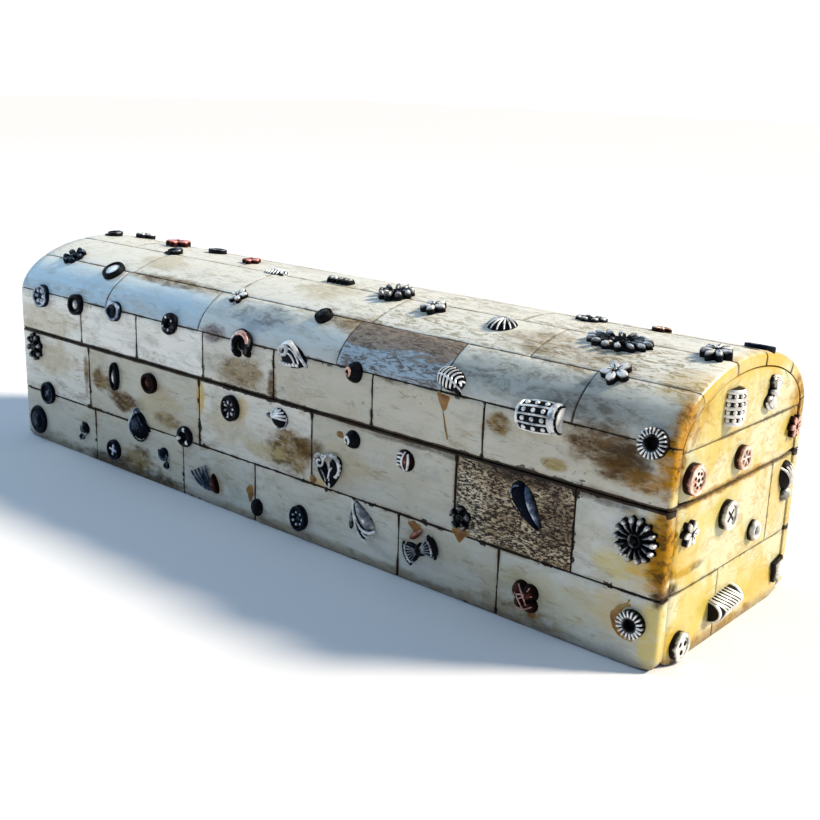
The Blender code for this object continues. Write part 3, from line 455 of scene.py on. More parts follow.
# Each stain: its middle, its reach on X, Y and Z in mm, its colour and how strong it is. Three blue ones on
# the vault are painted sky light, not stains.
STAINS_AND_SKY_SHEEN = (
    (front_place(0.208, 26), (5, 4, 3.6), BROWN, 0.85),
    (front_place(0.232, 21.5), (10, 4, 3.8), BROWN, 1.0),
    (front_place(0.180, 26), (5, 4, 4.5), UMBER, 0.8),
    (front_place(0.150, 27), (1.6, 4, 8), UMBER, 0.8),
    (front_place(0.075, 28), (15, 4, 7), TAN, 0.6),
    (front_place(0.305, 23), (13, 4, 8), TAN, 0.6),
    (front_place(0.320, 20), (8, 4, 3), UMBER, 0.6),
    (front_place(0.382, 30), (2.2, 4, 6.5), AMBER, 0.9),
    (front_place(0.457, 30), (3.4, 4, 5), AMBER, 0.55),
    (front_place(0.430, 25), (11, 4, 8), TAN, 0.5),
    (front_place(0.536, 22.5), (12, 4, 7), UMBER, 0.95),
    (front_place(0.565, 25), (7, 4, 4), BROWN, 0.8),
    (front_place(0.495, 20.5), (10, 4, 3.5), TAN, 0.8),
    (front_place(0.580, 17), (5, 4, 1.8), AMBER, 0.6),
    (front_place(0.620, 24), (9, 4, 8), TAN, 0.35),
    (front_place(0.949, 21), (6.5, 4, 4), YELLOW, 0.6),
    (front_place(0.790, 34), (50, 4, 1.4), SOOT, 0.6),
    (front_place(0.925, 34.5), (17, 4, 2.2), SOOT, 0.5),
    (front_place(0.985, 26), (7, 6, 11), AMBER, 0.9),
    (front_place(0.996, 25), (4.4, 6, 12), BURNT, 1.0),
    (front_place(1.000, 24), (2.6, 4, 9), BROWN, 0.85),
    (front_place(0.24, 0.5), (34, 4, 5), SOOT, 0.85),
    (front_place(0.26, 5), (10, 4, 5), UMBER, 0.8),
    (front_place(0.06, 1), (18, 4, 4), BROWN, 0.35),
    (front_place(0.410, 6), (4, 4, 4), BURNT, 0.45),
    (front_place(0.60, 1), (60, 4, 2.4), UMBER, 0.45),
    (front_place(0.845, 2), (18, 4, 4), UMBER, 0.6),
    (front_place(0.890, 8), (18, 4, 8), YELLOW, 0.25),
    (front_place(0.955, 10), (7, 4, 7), AMBER, 0.35),
    (front_place(0.993, 8), (4.4, 3, 11), YELLOW, 0.8),
    (front_place(0.998, 16.5), (3.0, 3, 2.2), SOOT, 0.95),
    (lid_place(0.933, 10), (13, 6, 6), BROWN, 0.9),
    (lid_place(0.957, 8.5), (9, 5, 4.5), SOOT, 0.75),
    (lid_place(0.974, 5), (6, 4, 3.4), BURNT, 0.75),
    (lid_place(0.950, 6.5), (10, 4, 3.6), BROWN, 0.8),
    (lid_place(0.883, 3.4), (4.0, 4, 1.9), (0.37, 0.26, 0.07), 0.8),
    (lid_place(0.816, 9.6), (4.2, 4, 3.4), UMBER, 0.9),
    (lid_place(0.453, 4.5), (13, 4, 5.5), UMBER, 0.75),
    (lid_place(0.507, 4), (2.6, 4, 6), BROWN, 0.9),
    (lid_place(0.050, 4), (22, 4, 7), TAN, 0.5),
    (lid_place(0.403, 13), (7, 5, 3.2), (0.20, 0.16, 0.17), 0.85),
    (lid_place(0.289, 26), (26, 5, 1.6), UMBER, 0.75),
    (lid_place(0.224, 35), (13, 7, 4), TAN, 0.5),
    (lid_place(0.600, 25), (14, 5, 2.8), UMBER, 0.8),
    (lid_place(0.676, 14.6), (9, 5, 2.8), BROWN, 0.8),
    (lid_place(0.510, 37), (13, 8, 4), TAN, 0.45),
    (lid_place(0.814, 33), (12, 8, 4), UMBER, 0.45),
    (lid_place(0.885, 29), (14, 8, 4), UMBER, 0.35),
    (lid_place(0.830, 20), (30, 9, 5), GREY, 0.6),
    (lid_place(0.905, 17), (20, 8, 4), (0.24, 0.23, 0.20), 0.6),
    # These three blue-grey patches on the vault's shoulder are painted blue sky light, not stains
    (lid_place(0.300, 20), (22, 7, 5), (0.34, 0.50, 0.64), 0.5),
    (lid_place(0.470, 21), (16, 7, 4), (0.27, 0.36, 0.42), 0.6),
    (lid_place(0.090, 22), (18, 7, 5), (0.40, 0.56, 0.68), 0.4),
    (lid_place(0.998, 10), (4.6, 7, 9), BURNT, 1.0),
    (lid_place(1.003, 19), (4.6, 7, 6), BURNT, 0.9),
    (lid_place(0.985, 28), (9, 8, 5), AMBER, 0.4),
    (lid_place(0.990, 62), (6, 12, 6), AMBER, 0.4),
    (right_place(1.5, 26), (4, 4.6, 11), BURNT, 1.0),
    (right_place(4, 17.3), (3, 3.8, 2.2), SOOT, 0.9),
    (right_place(11, 20), (3, 8, 1.4), BROWN, 0.7),
    (right_place(8, 24), (3, 9, 8), AMBER, 0.7),
    (right_place(20, 30), (3, 11, 4), YELLOW, 0.7),
    (right_place(32, 13), (3, 13, 6), YELLOW, 0.3),
    (right_place(9, 5), (3, 9, 6), AMBER, 0.55),
    (right_place(28, 35), (3, 34, 1.5), BURNT, 0.75),
    (right_place(50, 26), (3, 7, 10), AMBER, 0.55),
    (right_place(46, 5), (3, 13, 6), AMBER, 0.75),
    (right_place(24, 1), (3, 34, 2.4), BURNT, 0.55),
    (right_place(13, 9), (3, 8, 7), YELLOW, 0.6),
    (right_place(40, 60), (4, 26, 4.2), AMBER, 0.6),
    (right_place(8, 52), (4, 7, 6), BURNT, 0.5),
    (right_place(57, 47), (4, 6, 12), BURNT, 0.75),
    (back_place(0.10, 8), (16, 4, 6), TAN, 0.6),
    (back_place(0.30, 24), (14, 4, 7), UMBER, 0.5),
    (back_place(0.52, 1), (50, 4, 3.5), BROWN, 0.6),
    (back_place(0.62, 40), (15, 4, 5), TAN, 0.7),
    (back_place(0.74, 13), (12, 4, 5), UMBER, 0.6),
    (back_place(0.97, 25), (7, 5, 20), AMBER, 0.5),
    (back_place(0.40, 35), (70, 4, 1.6), SOOT, 0.6),
    (back_place(0.15, 42), (12, 4, 4), UMBER, 0.5),
    (left_place(20, 22), (4, 12, 7), TAN, 0.7),
    (left_place(46, 8), (4, 12, 8), UMBER, 0.55),
    (left_place(30, 35), (4, 34, 1.6), SOOT, 0.6),
    (left_place(32, 50), (4, 12, 6), TAN, 0.6),
)


def bone_colour(finish):
    """Polished bone: mottling under each slip's own tone, then fibres, greys, clouds and worm marks. The
    base bone is partly painted shade, and the bluest and creamiest tones are partly painted light.
    """
    mottle = finish.noise((70, 130, 130), 6.0, 0.68, 0.5, (4, 4, 4))
    tone = finish.attribute("tone")
    fibres = finish.noise((60, 620, 620), 5.0, 0.62, 0.9)
    greys = finish.noise((100, 220, 220), 6.0, 0.74, 0.8, (9, 1, 3))
    clouds = finish.noise((60, 150, 150), 5.0, 0.62, 0.6)
    worms = finish.noise((150, 700, 700), 5.0, 0.72, 0.8, (5, 3, 1))
    worms = finish.times(worms, finish.between(clouds, 0.40, 0.60, 0.78, 1.0))
    # The base is partly painted shade
    colour = GREY_BONE_AND_SHADE
    for value, start, full, strength, layer in (
        (mottle, 0.34, 0.68, 0.90, WARM_BONE),
        (tone, 0.5, 1.0, 0.60, COOL_BONE),
        # The bluest tone is partly painted blue sky light, reached where the vault's front course is pushed
        # to it
        (tone, 1.0, 2.0, 0.75, BLUE_BONE_AND_SKY_SHEEN),
        (tone, 0.5, 0.0, 0.50, DULL_BONE),
        (tone, 0.0, -0.7, 0.85, CREAM_BONE),
        (fibres, 0.42, 0.76, 0.38, (0.45, 0.40, 0.28)),
        (greys, 0.49, 0.64, 0.42, (0.33, 0.35, 0.30)),
        (clouds, 0.53, 0.72, 0.55, (0.42, 0.33, 0.19)),
        (worms, 0.52, 0.62, 0.50, (0.27, 0.20, 0.11)),
    ):
        colour = finish.tinted(colour, layer, value, start, full, strength)
    return colour, fibres


def pale_and_sunlit_crown(finish, colour, x, z):
    """The top of the vault: cream, partly as painted sunlight on the top, with brown streaks that grow to
    the right.
    """
    crown = finish.between(z, 53 * MM, 58 * MM)
    colour = finish.mix(finish.times(crown, 0.86), colour, CROWN_BONE_AND_SUNLIGHT)
    streaks = finish.between(finish.noise((230, 800, 800), 7.0, 0.80, 1.0), 0.48, 0.58)
    patches = finish.between(finish.noise((30, 70, 70), 3.0, shift=(2, 6, 1)), 0.36, 0.62, 0.30, 0.95)
    patches = finish.times(patches, finish.between(x, -80 * MM, 60 * MM, 0.45, 1.1))
    streaks = finish.times(crown, finish.times(streaks, patches))
    return finish.mix(streaks, colour, (0.35, 0.28, 0.16))


def yellowed_and_sunlit_end(finish, colour, x):
    """The right end: yellow, partly stained and partly painted warm sunlight, with brown veins."""
    end = finish.between(x, HALF_LENGTH - 0.5 * MM, HALF_LENGTH - 0.15 * MM)
    wash = finish.between(finish.noise((150, 90, 60), 5.0, 0.62, 0.15), 0.42, 0.62, 0.0, 0.9)
    veins = finish.between(finish.noise((300, 150, 330), 6.0, 0.75, 1.3, (3, 7, 5)), 0.51, 0.60, 0.0, 0.5)
    for strength, layer in ((0.85, END_BONE_AND_SUNLIGHT), (wash, (0.58, 0.43, 0.06)), (veins, (0.40, 0.24, 0.04))):
        colour = finish.mix(finish.times(end, strength), colour, layer)
    return colour


def stained(finish, colour):
    """Lays the stains on, with the patches of painted sky light on the vault among them. Gives the colour,
    and how far the dark ones cover it.
    """
    grain = finish.noise((260, 560, 560), 5.0, 0.7, 0.5)
    soaked = finish.between(grain, 0.34, 0.56, 0.62, 1.0)
    edge = finish.ragged((140, 270, 270), 1.35)
    dark_cover = 0.0
    for middle, reach, stain, strength in STAINS_AND_SKY_SHEEN:
        spread = finish.blot(middle, [size * MM for size in reach], edge)
        spread = finish.times(spread, finish.times(soaked, strength))
        colour = finish.mix(spread, colour, stain)
        if max(stain) < DARKEST_OF_PALE_STAINS:
            dark_cover = finish.larger(spread, dark_cover)
    flecks = finish.noise((180, 400, 400), 5.0, 0.72, 0.6, (1, 8, 4))
    flecks = finish.times(dark_cover, finish.between(flecks, 0.46, 0.60, 0.0, 0.85))
    return finish.mix(flecks, colour, (0.060, 0.030, 0.008)), dark_cover


def pores(finish):
    """1 in the small dark pores, which lie along the bone and gather in patches."""
    dots = finish.between(finish.noise((620, 1500, 1500), 3.0, 0.7, 0.3, (6, 6, 2)), 0.62, 0.69)
    patches = finish.between(finish.noise((80, 210, 210), 3.0, shift=(3, 1, 2)), 0.55, 0.67)
    return finish.times(dots, patches)


def joint_grime(finish, colour):
    """Dirt from the joints: a thin haze, dark teeth, most at the right of the seam, and a black rim.

    Gives the colour, and how dirty it is.
    """
    edge = finish.attribute("grime")
    soil = finish.attribute("soil")
    breaks = finish.noise((120, 120, 120), 4.0, 0.65)
    haze = finish.times(edge, finish.between(breaks, 0.42, 0.70, 0.05, 0.85))
    haze = finish.times(haze, soil)
    colour = finish.mix(haze, colour, (0.24, 0.16, 0.085))
    bites = finish.between(finish.noise((400, 400, 400), 3.0, 0.6), 0.36, 0.68, -0.95, 0.6)
    places = finish.between(finish.noise((45, 90, 90), 2.0, shift=(7, 2, 5)), 0.48, 0.62, -0.5, 0.15)
    heavy = finish.blot(front_place(0.890, 35), (26 * MM, 6 * MM, 3.8 * MM), 0.0)
    teeth = finish.plus(finish.plus(finish.plus(edge, bites), places), heavy)
    teeth = finish.times(finish.between(teeth, 0.88, 1.0, 0.0, 0.95), soil)
    colour = finish.mix(teeth, colour, SOOT)
    rim = finish.plus(edge, finish.between(breaks, 0.35, 0.65, -0.10, 0.10))
    rim = finish.between(rim, 0.80, 0.90, 0.0, 0.95)
    rim = finish.times(rim, finish.between(soil, 0.2, 0.9, 0.45, 1.0))
    dirt = finish.larger(finish.larger(haze, teeth), rim)
    return finish.mix(rim, colour, (0.030, 0.020, 0.013)), dirt


def bone_finish():
    """Polished bone with its stains. Dirt takes the gloss off it."""
    finish = Finish("polished_bone")
    x, y, z = finish.axes()
    colour, fibres = bone_colour(finish)
    colour = pale_and_sunlit_crown(finish, colour, x, z)
    colour = finish.tinted(colour, BACK_BONE, y, 0.55 * HALF_DEPTH, 0.98 * HALF_DEPTH, 0.55)
    colour = yellowed_and_sunlit_end(finish, colour, x)
    colour, dark_cover = stained(finish, colour)
    dark_pores = pores(finish)
    colour = finish.mix(finish.times(dark_pores, 0.65), colour, (0.10, 0.065, 0.035))
    specks = finish.noise((330, 560, 560), 4.0, 0.75, 0.4, (2, 2, 9))
    colour = finish.tinted(colour, (0.07, 0.05, 0.035), specks, 0.67, 0.72, 0.75)
    colour = finish.tinted(colour, (0.09, 0.06, 0.035), z, 3.4 * MM, 0.0, 0.55)
    colour, dirt = joint_grime(finish, colour)
    dirt = finish.larger(dirt, finish.times(dark_cover, 1.25))
    gloss = finish.shader.inputs
    finish.feed(gloss["Specular IOR Level"], finish.between(dirt, 0.0, 0.9, 0.45, 0.06))
    finish.feed(gloss["Coat Weight"], finish.between(dirt, 0.0, 0.7, 0.16, 0.0))
    finish.even({"Coat Roughness": 0.18})
    finish.waxy(0.12, (1.0, 0.6, 0.35), 1.2 * MM)
    normal = finish.bump(fibres, 0.05 * MM, 0.5)
    normal = finish.bump(dark_pores, -0.08 * MM, 0.8, normal)
    return finish.done(colour, finish.between(fibres, 0.25, 0.75, 0.26, 0.46), normal)


def spongy_bone_finish():
    """The brown, porous slip at the front: its pores lie close, in short dark strokes."""
    finish = Finish("spongy_bone")
    ground = finish.noise((160, 420, 420), 4.0, 0.6)
    colour = finish.tinted((0.46, 0.33, 0.19), (0.78, 0.64, 0.44), ground, 0.3, 0.7)
    edge = finish.ragged((300, 700, 700), 0.9)
    for middle, reach, strength, layer in (
        (front_place(0.785, 22), (7, 9, 13), 1.0, (0.76, 0.66, 0.48)),
        (front_place(0.845, 35), (18, 6, 4.5), 0.85, (0.08, 0.05, 0.03)),
        (front_place(0.890, 26), (6, 6, 9), 0.6, (0.10, 0.06, 0.035)),
    ):
        spread = finish.blot(middle, [size * MM for size in reach], edge)
        colour = finish.mix(finish.times(spread, strength), colour, layer)
    strokes = finish.between(finish.noise((1150, 3000, 3000), 3.0, 0.65, 0.3), 0.45, 0.53)
    gaps = finish.between(finish.noise((260, 400, 400), 3.0), 0.30, 0.48, 0.6, 1.0)
    strokes = finish.times(strokes, gaps)
    colour = finish.mix(finish.times(strokes, 0.97), colour, (0.022, 0.012, 0.007))
    colour = joint_grime(finish, colour)[0]
    finish.even({"Specular IOR Level": 0.15})
    normal = finish.bump(strokes, -0.16 * MM, 0.9)
    return finish.done(colour, finish.between(ground, 0.2, 0.8, 0.45, 0.65), normal)


def streaked_bone_finish():
    """The slip on the vault that is dark brown above and streaked with blue-grey below, where the pale blue
    is partly painted sky light.

    The brown ends at a slant before the slip's right end.
    """
    finish = Finish("streaked_bone")
    x, _, z = finish.axes()
    streaks = finish.noise((240, 900, 900), 7.0, 0.80, 1.4)
    # The pale blue under the dark streaks is partly painted sky light
    below = finish.tinted((0.42, 0.53, 0.60), (0.15, 0.12, 0.10), streaks, 0.46, 0.58)
    above = finish.tinted((0.08, 0.05, 0.03), (0.37, 0.29, 0.22), streaks, 0.36, 0.60)
    start = lid_place(0.700, 19.5).z
    ragged = finish.between(finish.noise((55, 160, 160), 4.0, 0.6), 0.3, 0.7, -2.4 * MM, 2.0 * MM)
    upper = finish.between(finish.plus(z, ragged), start - 0.5 * MM, start + 0.6 * MM)
    slope = 0.9
    corner = lid_place(0.742, 20.5)
    end = corner.x - slope * corner.z
    inside = finish.between(finish.plus(x, finish.times(z, -slope)), end + 0.4 * MM, end)
    colour = finish.mix(finish.times(upper, inside), below, above)
    colour = joint_grime(finish, colour)[0]
    finish.even({"Specular IOR Level": 0.25})
    normal = finish.bump(streaks, 0.08 * MM, 0.6)
    return finish.done(colour, finish.between(streaks, 0.2, 0.8, 0.32, 0.5), normal)


def mastic_finish():
    """The dark filler in the joints."""
    finish = Finish("joint_mastic", 0.85)
    lumps = finish.noise((900, 900, 900), 3.0)
    colour = finish.tinted((0.012, 0.009, 0.007), (0.045, 0.030, 0.019), lumps, 0.35, 0.7)
    return finish.done(colour, None, finish.bump(lumps, 0.1 * MM))


def wood_finish():
    """Plain, close-grained wood, dry and rather dark."""
    finish = Finish("carcass_wood")
    rings = finish.noise((14, 210, 210), 4.0, 0.6, 1.6)
    fibres = finish.noise((45, 1500, 1500), 3.0, 0.6)
    colour = finish.tinted((0.235, 0.125, 0.060), (0.125, 0.060, 0.028), rings, 0.32, 0.68)
    colour = finish.tinted(colour, (0.075, 0.036, 0.018), fibres, 0.45, 0.75, 0.55)
    normal = finish.bump(fibres, 0.12 * MM, 0.6)
    return finish.done(colour, finish.between(fibres, 0.3, 0.8, 0.52, 0.75), normal)


def cast_metal(name, slot, bright, worn, dark):
    """Antiqued metal, black in its hollows and rubbed bright where it stands proud, with its slot. The
    brightest marks are painted highlight as well as wear: there the metal turns mostly non-metallic and near
    white.
    """
    finish = Finish(name, metallic=1.0)
    rub = finish.noise((520, 520, 520), 4.0, 0.62)
    level = finish.plus(finish.attribute("relief"), finish.between(rub, 0.25, 0.75, -0.24, 0.18))
    colour = finish.tinted(dark, worn, level, 0.38, 0.78)
    colour = finish.tinted(colour, bright, level, 0.72, 0.96)
    tarnish = finish.noise((240, 240, 240), 2.0)
    colour = finish.tinted(colour, dark, tarnish, 0.45, 0.70, 0.35)
    # Painted highlight: the brightest marks turn mostly non-metallic, so they show near white
    finish.feed(finish.shader.inputs["Metallic"], finish.between(level, 0.60, 0.98, 1.0, 0.30))
    normal = finish.bump(rub, 0.06 * MM, 0.5)
    return finish.done(colour, finish.between(level, 0.3, 1.0, 0.58, 0.40), normal), slot


def glue_finish():
    """Old clear glue, gone amber and darkest where it lies thick."""
    finish = Finish("amber_glue", 0.22)
    depth = finish.noise((420, 420, 420), 2.0)
    thick = finish.attribute("relief")
    colour = finish.tinted((0.44, 0.33, 0.11), (0.31, 0.14, 0.004), thick, 0.02, 0.55)
    deep = finish.times(finish.between(thick, 0.3, 0.9), finish.between(depth, 0.25, 0.65))
    colour = finish.mix(deep, colour, (0.17, 0.055, 0.002))
    finish.waxy(0.15, (1.0, 0.5, 0.15), 1.0 * MM)
    return finish.done(colour, None, finish.bump(depth, 0.1 * MM, 0.5))


def floor_finish():
    finish = Finish("pale_floor", 0.9)
    drift = finish.noise((3, 3, 3), 2.0)
    return finish.done(finish.mix(drift, (0.86, 0.84, 0.84), (0.85, 0.83, 0.83)))


BONE = bone_finish()
SPONGY = spongy_bone_finish()
STREAKED = streaked_bone_finish()
MASTIC = mastic_finish()
WOOD = wood_finish()

# The metals: a name, its slot, and its colours where it is rubbed bright, worn and left dark. The bright
# colours are partly painted highlight; the sunlit silver and rosy copper are lit copies for the sunlit right
# end and crown, and the sky-sheen silver's blue is a painted reflection of the sky.
RUBBED_AND_SUNLIT_SILVER, ROSY_SUNLIT_COPPER, SILVERY, COPPERY, SKY_SHEEN_SILVER, BROWNISH, REDDISH = (
    cast_metal(*metal)
    for metal in (
        # Silver of the sunlit right end: a brighter, lit copy of the antiqued silver
        ("rubbed_and_sunlit_silver", "silver", (0.97, 0.95, 0.90), (0.66, 0.63, 0.58), (0.018, 0.016, 0.015)),
        # Copper made pale and rosy, partly as painted sunlight, for studs on the sunlit end and crown
        ("rosy_sunlit_copper", "copper", (1.0, 0.84, 0.72), (0.74, 0.44, 0.32), (0.035, 0.014, 0.009)),
        ("antiqued_silver", "silver", (0.97, 0.95, 0.91), (0.34, 0.34, 0.34), (0.010, 0.011, 0.013)),
        ("coppery_metal", "copper", (0.88, 0.52, 0.42), (0.38, 0.15, 0.10), (0.022, 0.010, 0.008)),
        # Silver in shade, its blue a painted reflection of the sky
        ("silver_with_sky_sheen", "silver", (0.70, 0.76, 0.84), (0.11, 0.15, 0.21), (0.007, 0.010, 0.017)),
        ("browned_metal", "copper", (0.66, 0.36, 0.29), (0.13, 0.040, 0.028), (0.014, 0.007, 0.006)),
        ("reddened_metal", "copper", (0.92, 0.42, 0.36), (0.50, 0.12, 0.10), (0.030, 0.010, 0.009)),
    )
)
GLUE = (glue_finish(), "bone")  # it shares the bone's slot


# Bone plaques


def mark_all(slip, name, value):
    """The same mark on every corner of the slip."""
    for mark in slip.data.attributes.new(name, "FLOAT", "POINT").data:
        mark.value = value


def mark_edges(slip, left, right, low, high, open_left, open_right):
    """How near each corner of the slip is to a joint, for the dirt there. Open ends stay clean."""
    grime = slip.data.attributes.new("grime", "FLOAT", "POINT")
    for vertex, mark in zip(slip.data.vertices, grime.data):
        x, y = vertex.co.xy
        away = min(y - low, high - y)
        away = away if open_left else min(away, x - left)
        away = away if open_right else min(away, right - x)
        mark.value = max(0.0, min(1.0, 1.0 - away / GRIME_MARGIN))


def wear(slip, seed, left, right, low, high):
    """The sawn outline wavers, and the polished face swells a little and sits a little high or low."""
    lift = SLIP_LIFT * noise.noise(Vector((seed, 0, 0)) * 3.7)
    for vertex in slip.data.vertices:
        x, y, z = vertex.co
        drift = noise.noise_vector(Vector((x * WAVER_PITCH, y * WAVER_PITCH, seed)))
        share = max(0.0, 1.0 - min(x - left, right - x, y - low, high - y) / (2 * GRIME_MARGIN))
        swell = noise.noise(Vector((x * SWELL_PITCH, y * 2 * SWELL_PITCH, seed + 9)))
        rise = (SWELL * swell + lift) * max(0.0, 1.0 + z / BONE_THICKNESS)
        vertex.co += Vector((drift.x * WAVER * share, drift.y * WAVER * share, rise))
        if low == 0.0:
            vertex.co.y = max(vertex.co.y, 0.0)


def round_corner(slip, left, right, low, open_left, open_right):
    """Rubs down the outer corner of the box where a slip runs out to it, most at the foot."""
    for vertex in slip.data.vertices:
        x, y, z = vertex.co
        for is_open, end, way in ((open_left, left, 1), (open_right, right, -1)):
            past = CORNER_ROUND - way * (x - end)
            over = math.hypot(past, z + CORNER_ROUND)
            if is_open and past > 0 and z > -CORNER_ROUND and over > CORNER_ROUND:
                share = CORNER_ROUND / over
                x, z = x - way * past * (share - 1), (z + CORNER_ROUND) * share - CORNER_ROUND
            past, under = FOOT_ROUND - way * (x - end), FOOT_ROUND - y
            over = math.hypot(past, under)
            if is_open and low == 0.0 and past > 0 and under > 0 and over > FOOT_ROUND:
                share = FOOT_ROUND / over
                x, y = x - way * past * (share - 1), y - under * (share - 1)
        vertex.co = x, y, z


def saw_plaque(name, left, right, low, high, seed, cuts, open_left, open_right, edge_round):
    """A slip of bone lying flat: its length on X, its polished face up at Z 0, its edges worn."""
    middle = ((left + right) / 2, (low + high) / 2, -BONE_THICKNESS / 2)
    size = (right - left, high - low, BONE_THICKNESS)
    slip = rename(newly(bpy.ops.mesh.primitive_cube_add, size=1, location=middle, scale=size), name)
    open_piece(slip, "FACE", any_part)
    bpy.ops.mesh.subdivide(number_cuts=cuts)
    pick(slip, "FACE", lambda face: face.normal.z > 0.9)
    bpy.ops.mesh.inset(thickness=GRIME_MARGIN)
    bpy.ops.mesh.select_mode(type="EDGE")
    pick(slip, "EDGE", is_rim)
    bpy.ops.mesh.bevel(offset=edge_round, segments=2)
    close_piece()
    mark_edges(slip, left, right, low, high, open_left, open_right)
    wear(slip, seed, left, right, low, high)
    round_corner(slip, left, right, low, open_left, open_right)
    return slip


def soil_seam(slip, dirt):
    """The seam between lid and tray is the dirtiest joint."""
    for vertex, mark in zip(slip.data.vertices, slip.data.attributes["grime"].data):
        if abs(vertex.co.z - (SEAM_LOW + SEAM_HIGH) / 2) < SEAM_SOIL_REACH:
            mark.value = 0.95 + 0.6 * dirt


def slip_tone(seed, index, count, tone_and_light_tint):
    """Above 0.5 a slip is cooler, then bluer; below it duller, then creamier. The tone_and_light_tint fades
    to the right: it is partly painted light, the blue of the sky on the vault's front course and a brighter,
    creamier left end on the front.
    """
    chance = 0.5 + 0.9 * noise.noise(Vector((seed * 1.7, 4.2, 0)))
    return chance + tone_and_light_tint * max(0.0, 1 - 1.5 * index / count)


def set_course(name, side, low, high, joints, node, special=None, cuts=6, gap=JOINT_GAP, dirt=1, tone_and_light_tint=0):
    """A course of plaques between two heights on a side, split at its joints."""
    ends = [0.0, *(share * side.length for share in joints), side.length]
    last = len(ends) - 2
    for index, (left, right) in enumerate(zip(ends, ends[1:])):
        is_first, is_last = index == 0, index == last
        left += 0.0 if is_first else gap / 2
        right -= 0.0 if is_last else gap / 2
        seed = sum(map(ord, name)) % 97 + index * 3.1
        outline = (left, right, low, high)
        slip = saw_plaque(f"{name}_{index + 1}", *outline, seed, cuts, is_first, is_last, BEVEL_SHARE * gap)
        mark_all(slip, "soil", dirt)
        mark_all(slip, "tone", slip_tone(seed, index, len(ends), tone_and_light_tint))
        carry_over(slip, side)
        soil_seam(slip, dirt)
        smooth(slip)
        keep(slip, (special or {}).get(index, BONE))
        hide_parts(node)


def lay_mastic(name, side, low, high, inset):
    """The sheet of dark filler that shows in the joints of a side."""
    thickness = BONE_THICKNESS - MASTIC_DEPTH - 0.2 * MM
    middle = (side.length / 2, (low + high) / 2, -MASTIC_DEPTH - thickness / 2)
    size = (side.length - 2 * inset, high - low, thickness)
    sheet = rename(newly(bpy.ops.mesh.primitive_cube_add, size=1, location=middle, scale=size), name)
    open_piece(sheet, "FACE", any_part)
    bpy.ops.mesh.subdivide(number_cuts=MASTIC_CUTS)
    close_piece()
    carry_over(sheet, side)
    smooth(sheet)
    keep(sheet, MASTIC)


def saw_half_moon(name, direction, node):
    """The arched plaque over the strip on an end of the lid."""
    moon = newly(
        bpy.ops.mesh.primitive_cylinder_add,
        vertices=72,
        radius=1,
        depth=BONE_THICKNESS,
        location=(0, 0, -BONE_THICKNESS / 2),
        scale=(HALF_DEPTH - BONE_THICKNESS - 0.6 * MM, VAULT_RISE - BONE_THICKNESS - 0.5 * MM, 1),
    )
    rename(moon, name)
    open_piece(moon, "FACE", any_part)
    bpy.ops.mesh.bisect(plane_co=(0, 0, 0), plane_no=(0, 1, 0), clear_inner=True, use_fill=True)
    for normal, places in (
        ((1, 0, 0), [step * 3.4 for step in range(-7, 8)]),
        ((0, 1, 0), (1, 3.5, 6.5, 9.5)),
    ):
        for place in places:
            bpy.ops.mesh.select_all(action="SELECT")
            bpy.ops.mesh.bisect(plane_co=[axis * place * MM for axis in normal], plane_no=normal)
    bpy.ops.mesh.select_mode(type="EDGE")
    pick(moon, "EDGE", is_rim)
    bpy.ops.mesh.bevel(offset=HALF_MOON_BEVEL, segments=2)
    close_piece()
    mark_all(moon, "soil", END_DIRT)
    mark_all(moon, "tone", 0.35)
    foot = SPRING_HEIGHT + JOINT_GAP / 2
    grime = moon.data.attributes.new("grime", "FLOAT", "POINT")
    for vertex, mark in zip(moon.data.vertices, grime.data):
        mark.value = 1.0 if vertex.co.z < -0.1 * MM or vertex.co.y < 0.4 * MM else 0.1
        vertex.co.z += SWELL * noise.noise(vertex.co * WAVER_PITCH)
        x, y, z = vertex.co
        vertex.co = (direction * (HALF_LENGTH + z), direction * x, foot + y)
    moon.data.update()
    smooth(moon)
    keep(moon, BONE)
    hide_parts(node)


def set_tray_plaques():
    # The last number of each side is its tone_and_light_tint: the front's lightens its left plaques, partly
    # a creamier bone and partly painted light
    for name, side, lower, upper, gap, dirt, special, tone_and_light_tint in (
        ("front", FRONT, TRAY_FRONT_LOWER, TRAY_FRONT_UPPER, JOINT_GAP, 1.0, {4: SPONGY}, -0.9),
        ("back", BACK, TRAY_BACK_LOWER, TRAY_BACK_UPPER, JOINT_GAP, 1.0, None, 0.0),
        ("right", RIGHT, END_LOWER, END_UPPER, FINE_GAP, END_DIRT, None, 0.0),
        ("left", LEFT, END_LOWER, END_UPPER, JOINT_GAP, 0.9, None, 0.0),
    ):
        node = f"tray_{name}_plaques"
        split, half = COURSE_SPLIT, gap / 2
        course = partial(set_course, side=side, node=node, gap=gap, dirt=dirt, tone_and_light_tint=tone_and_light_tint)
        course(f"bone_tray_{name}_lower", low=0.0, high=split - half, joints=lower)
        course(f"bone_tray_{name}_upper", low=split + half, high=SEAM_LOW, joints=upper, special=special)
        lay_mastic(f"mastic_tray_{name}", side, 0.6 * MM, SEAM_LOW - 0.5 * MM, MASTIC_INSET)


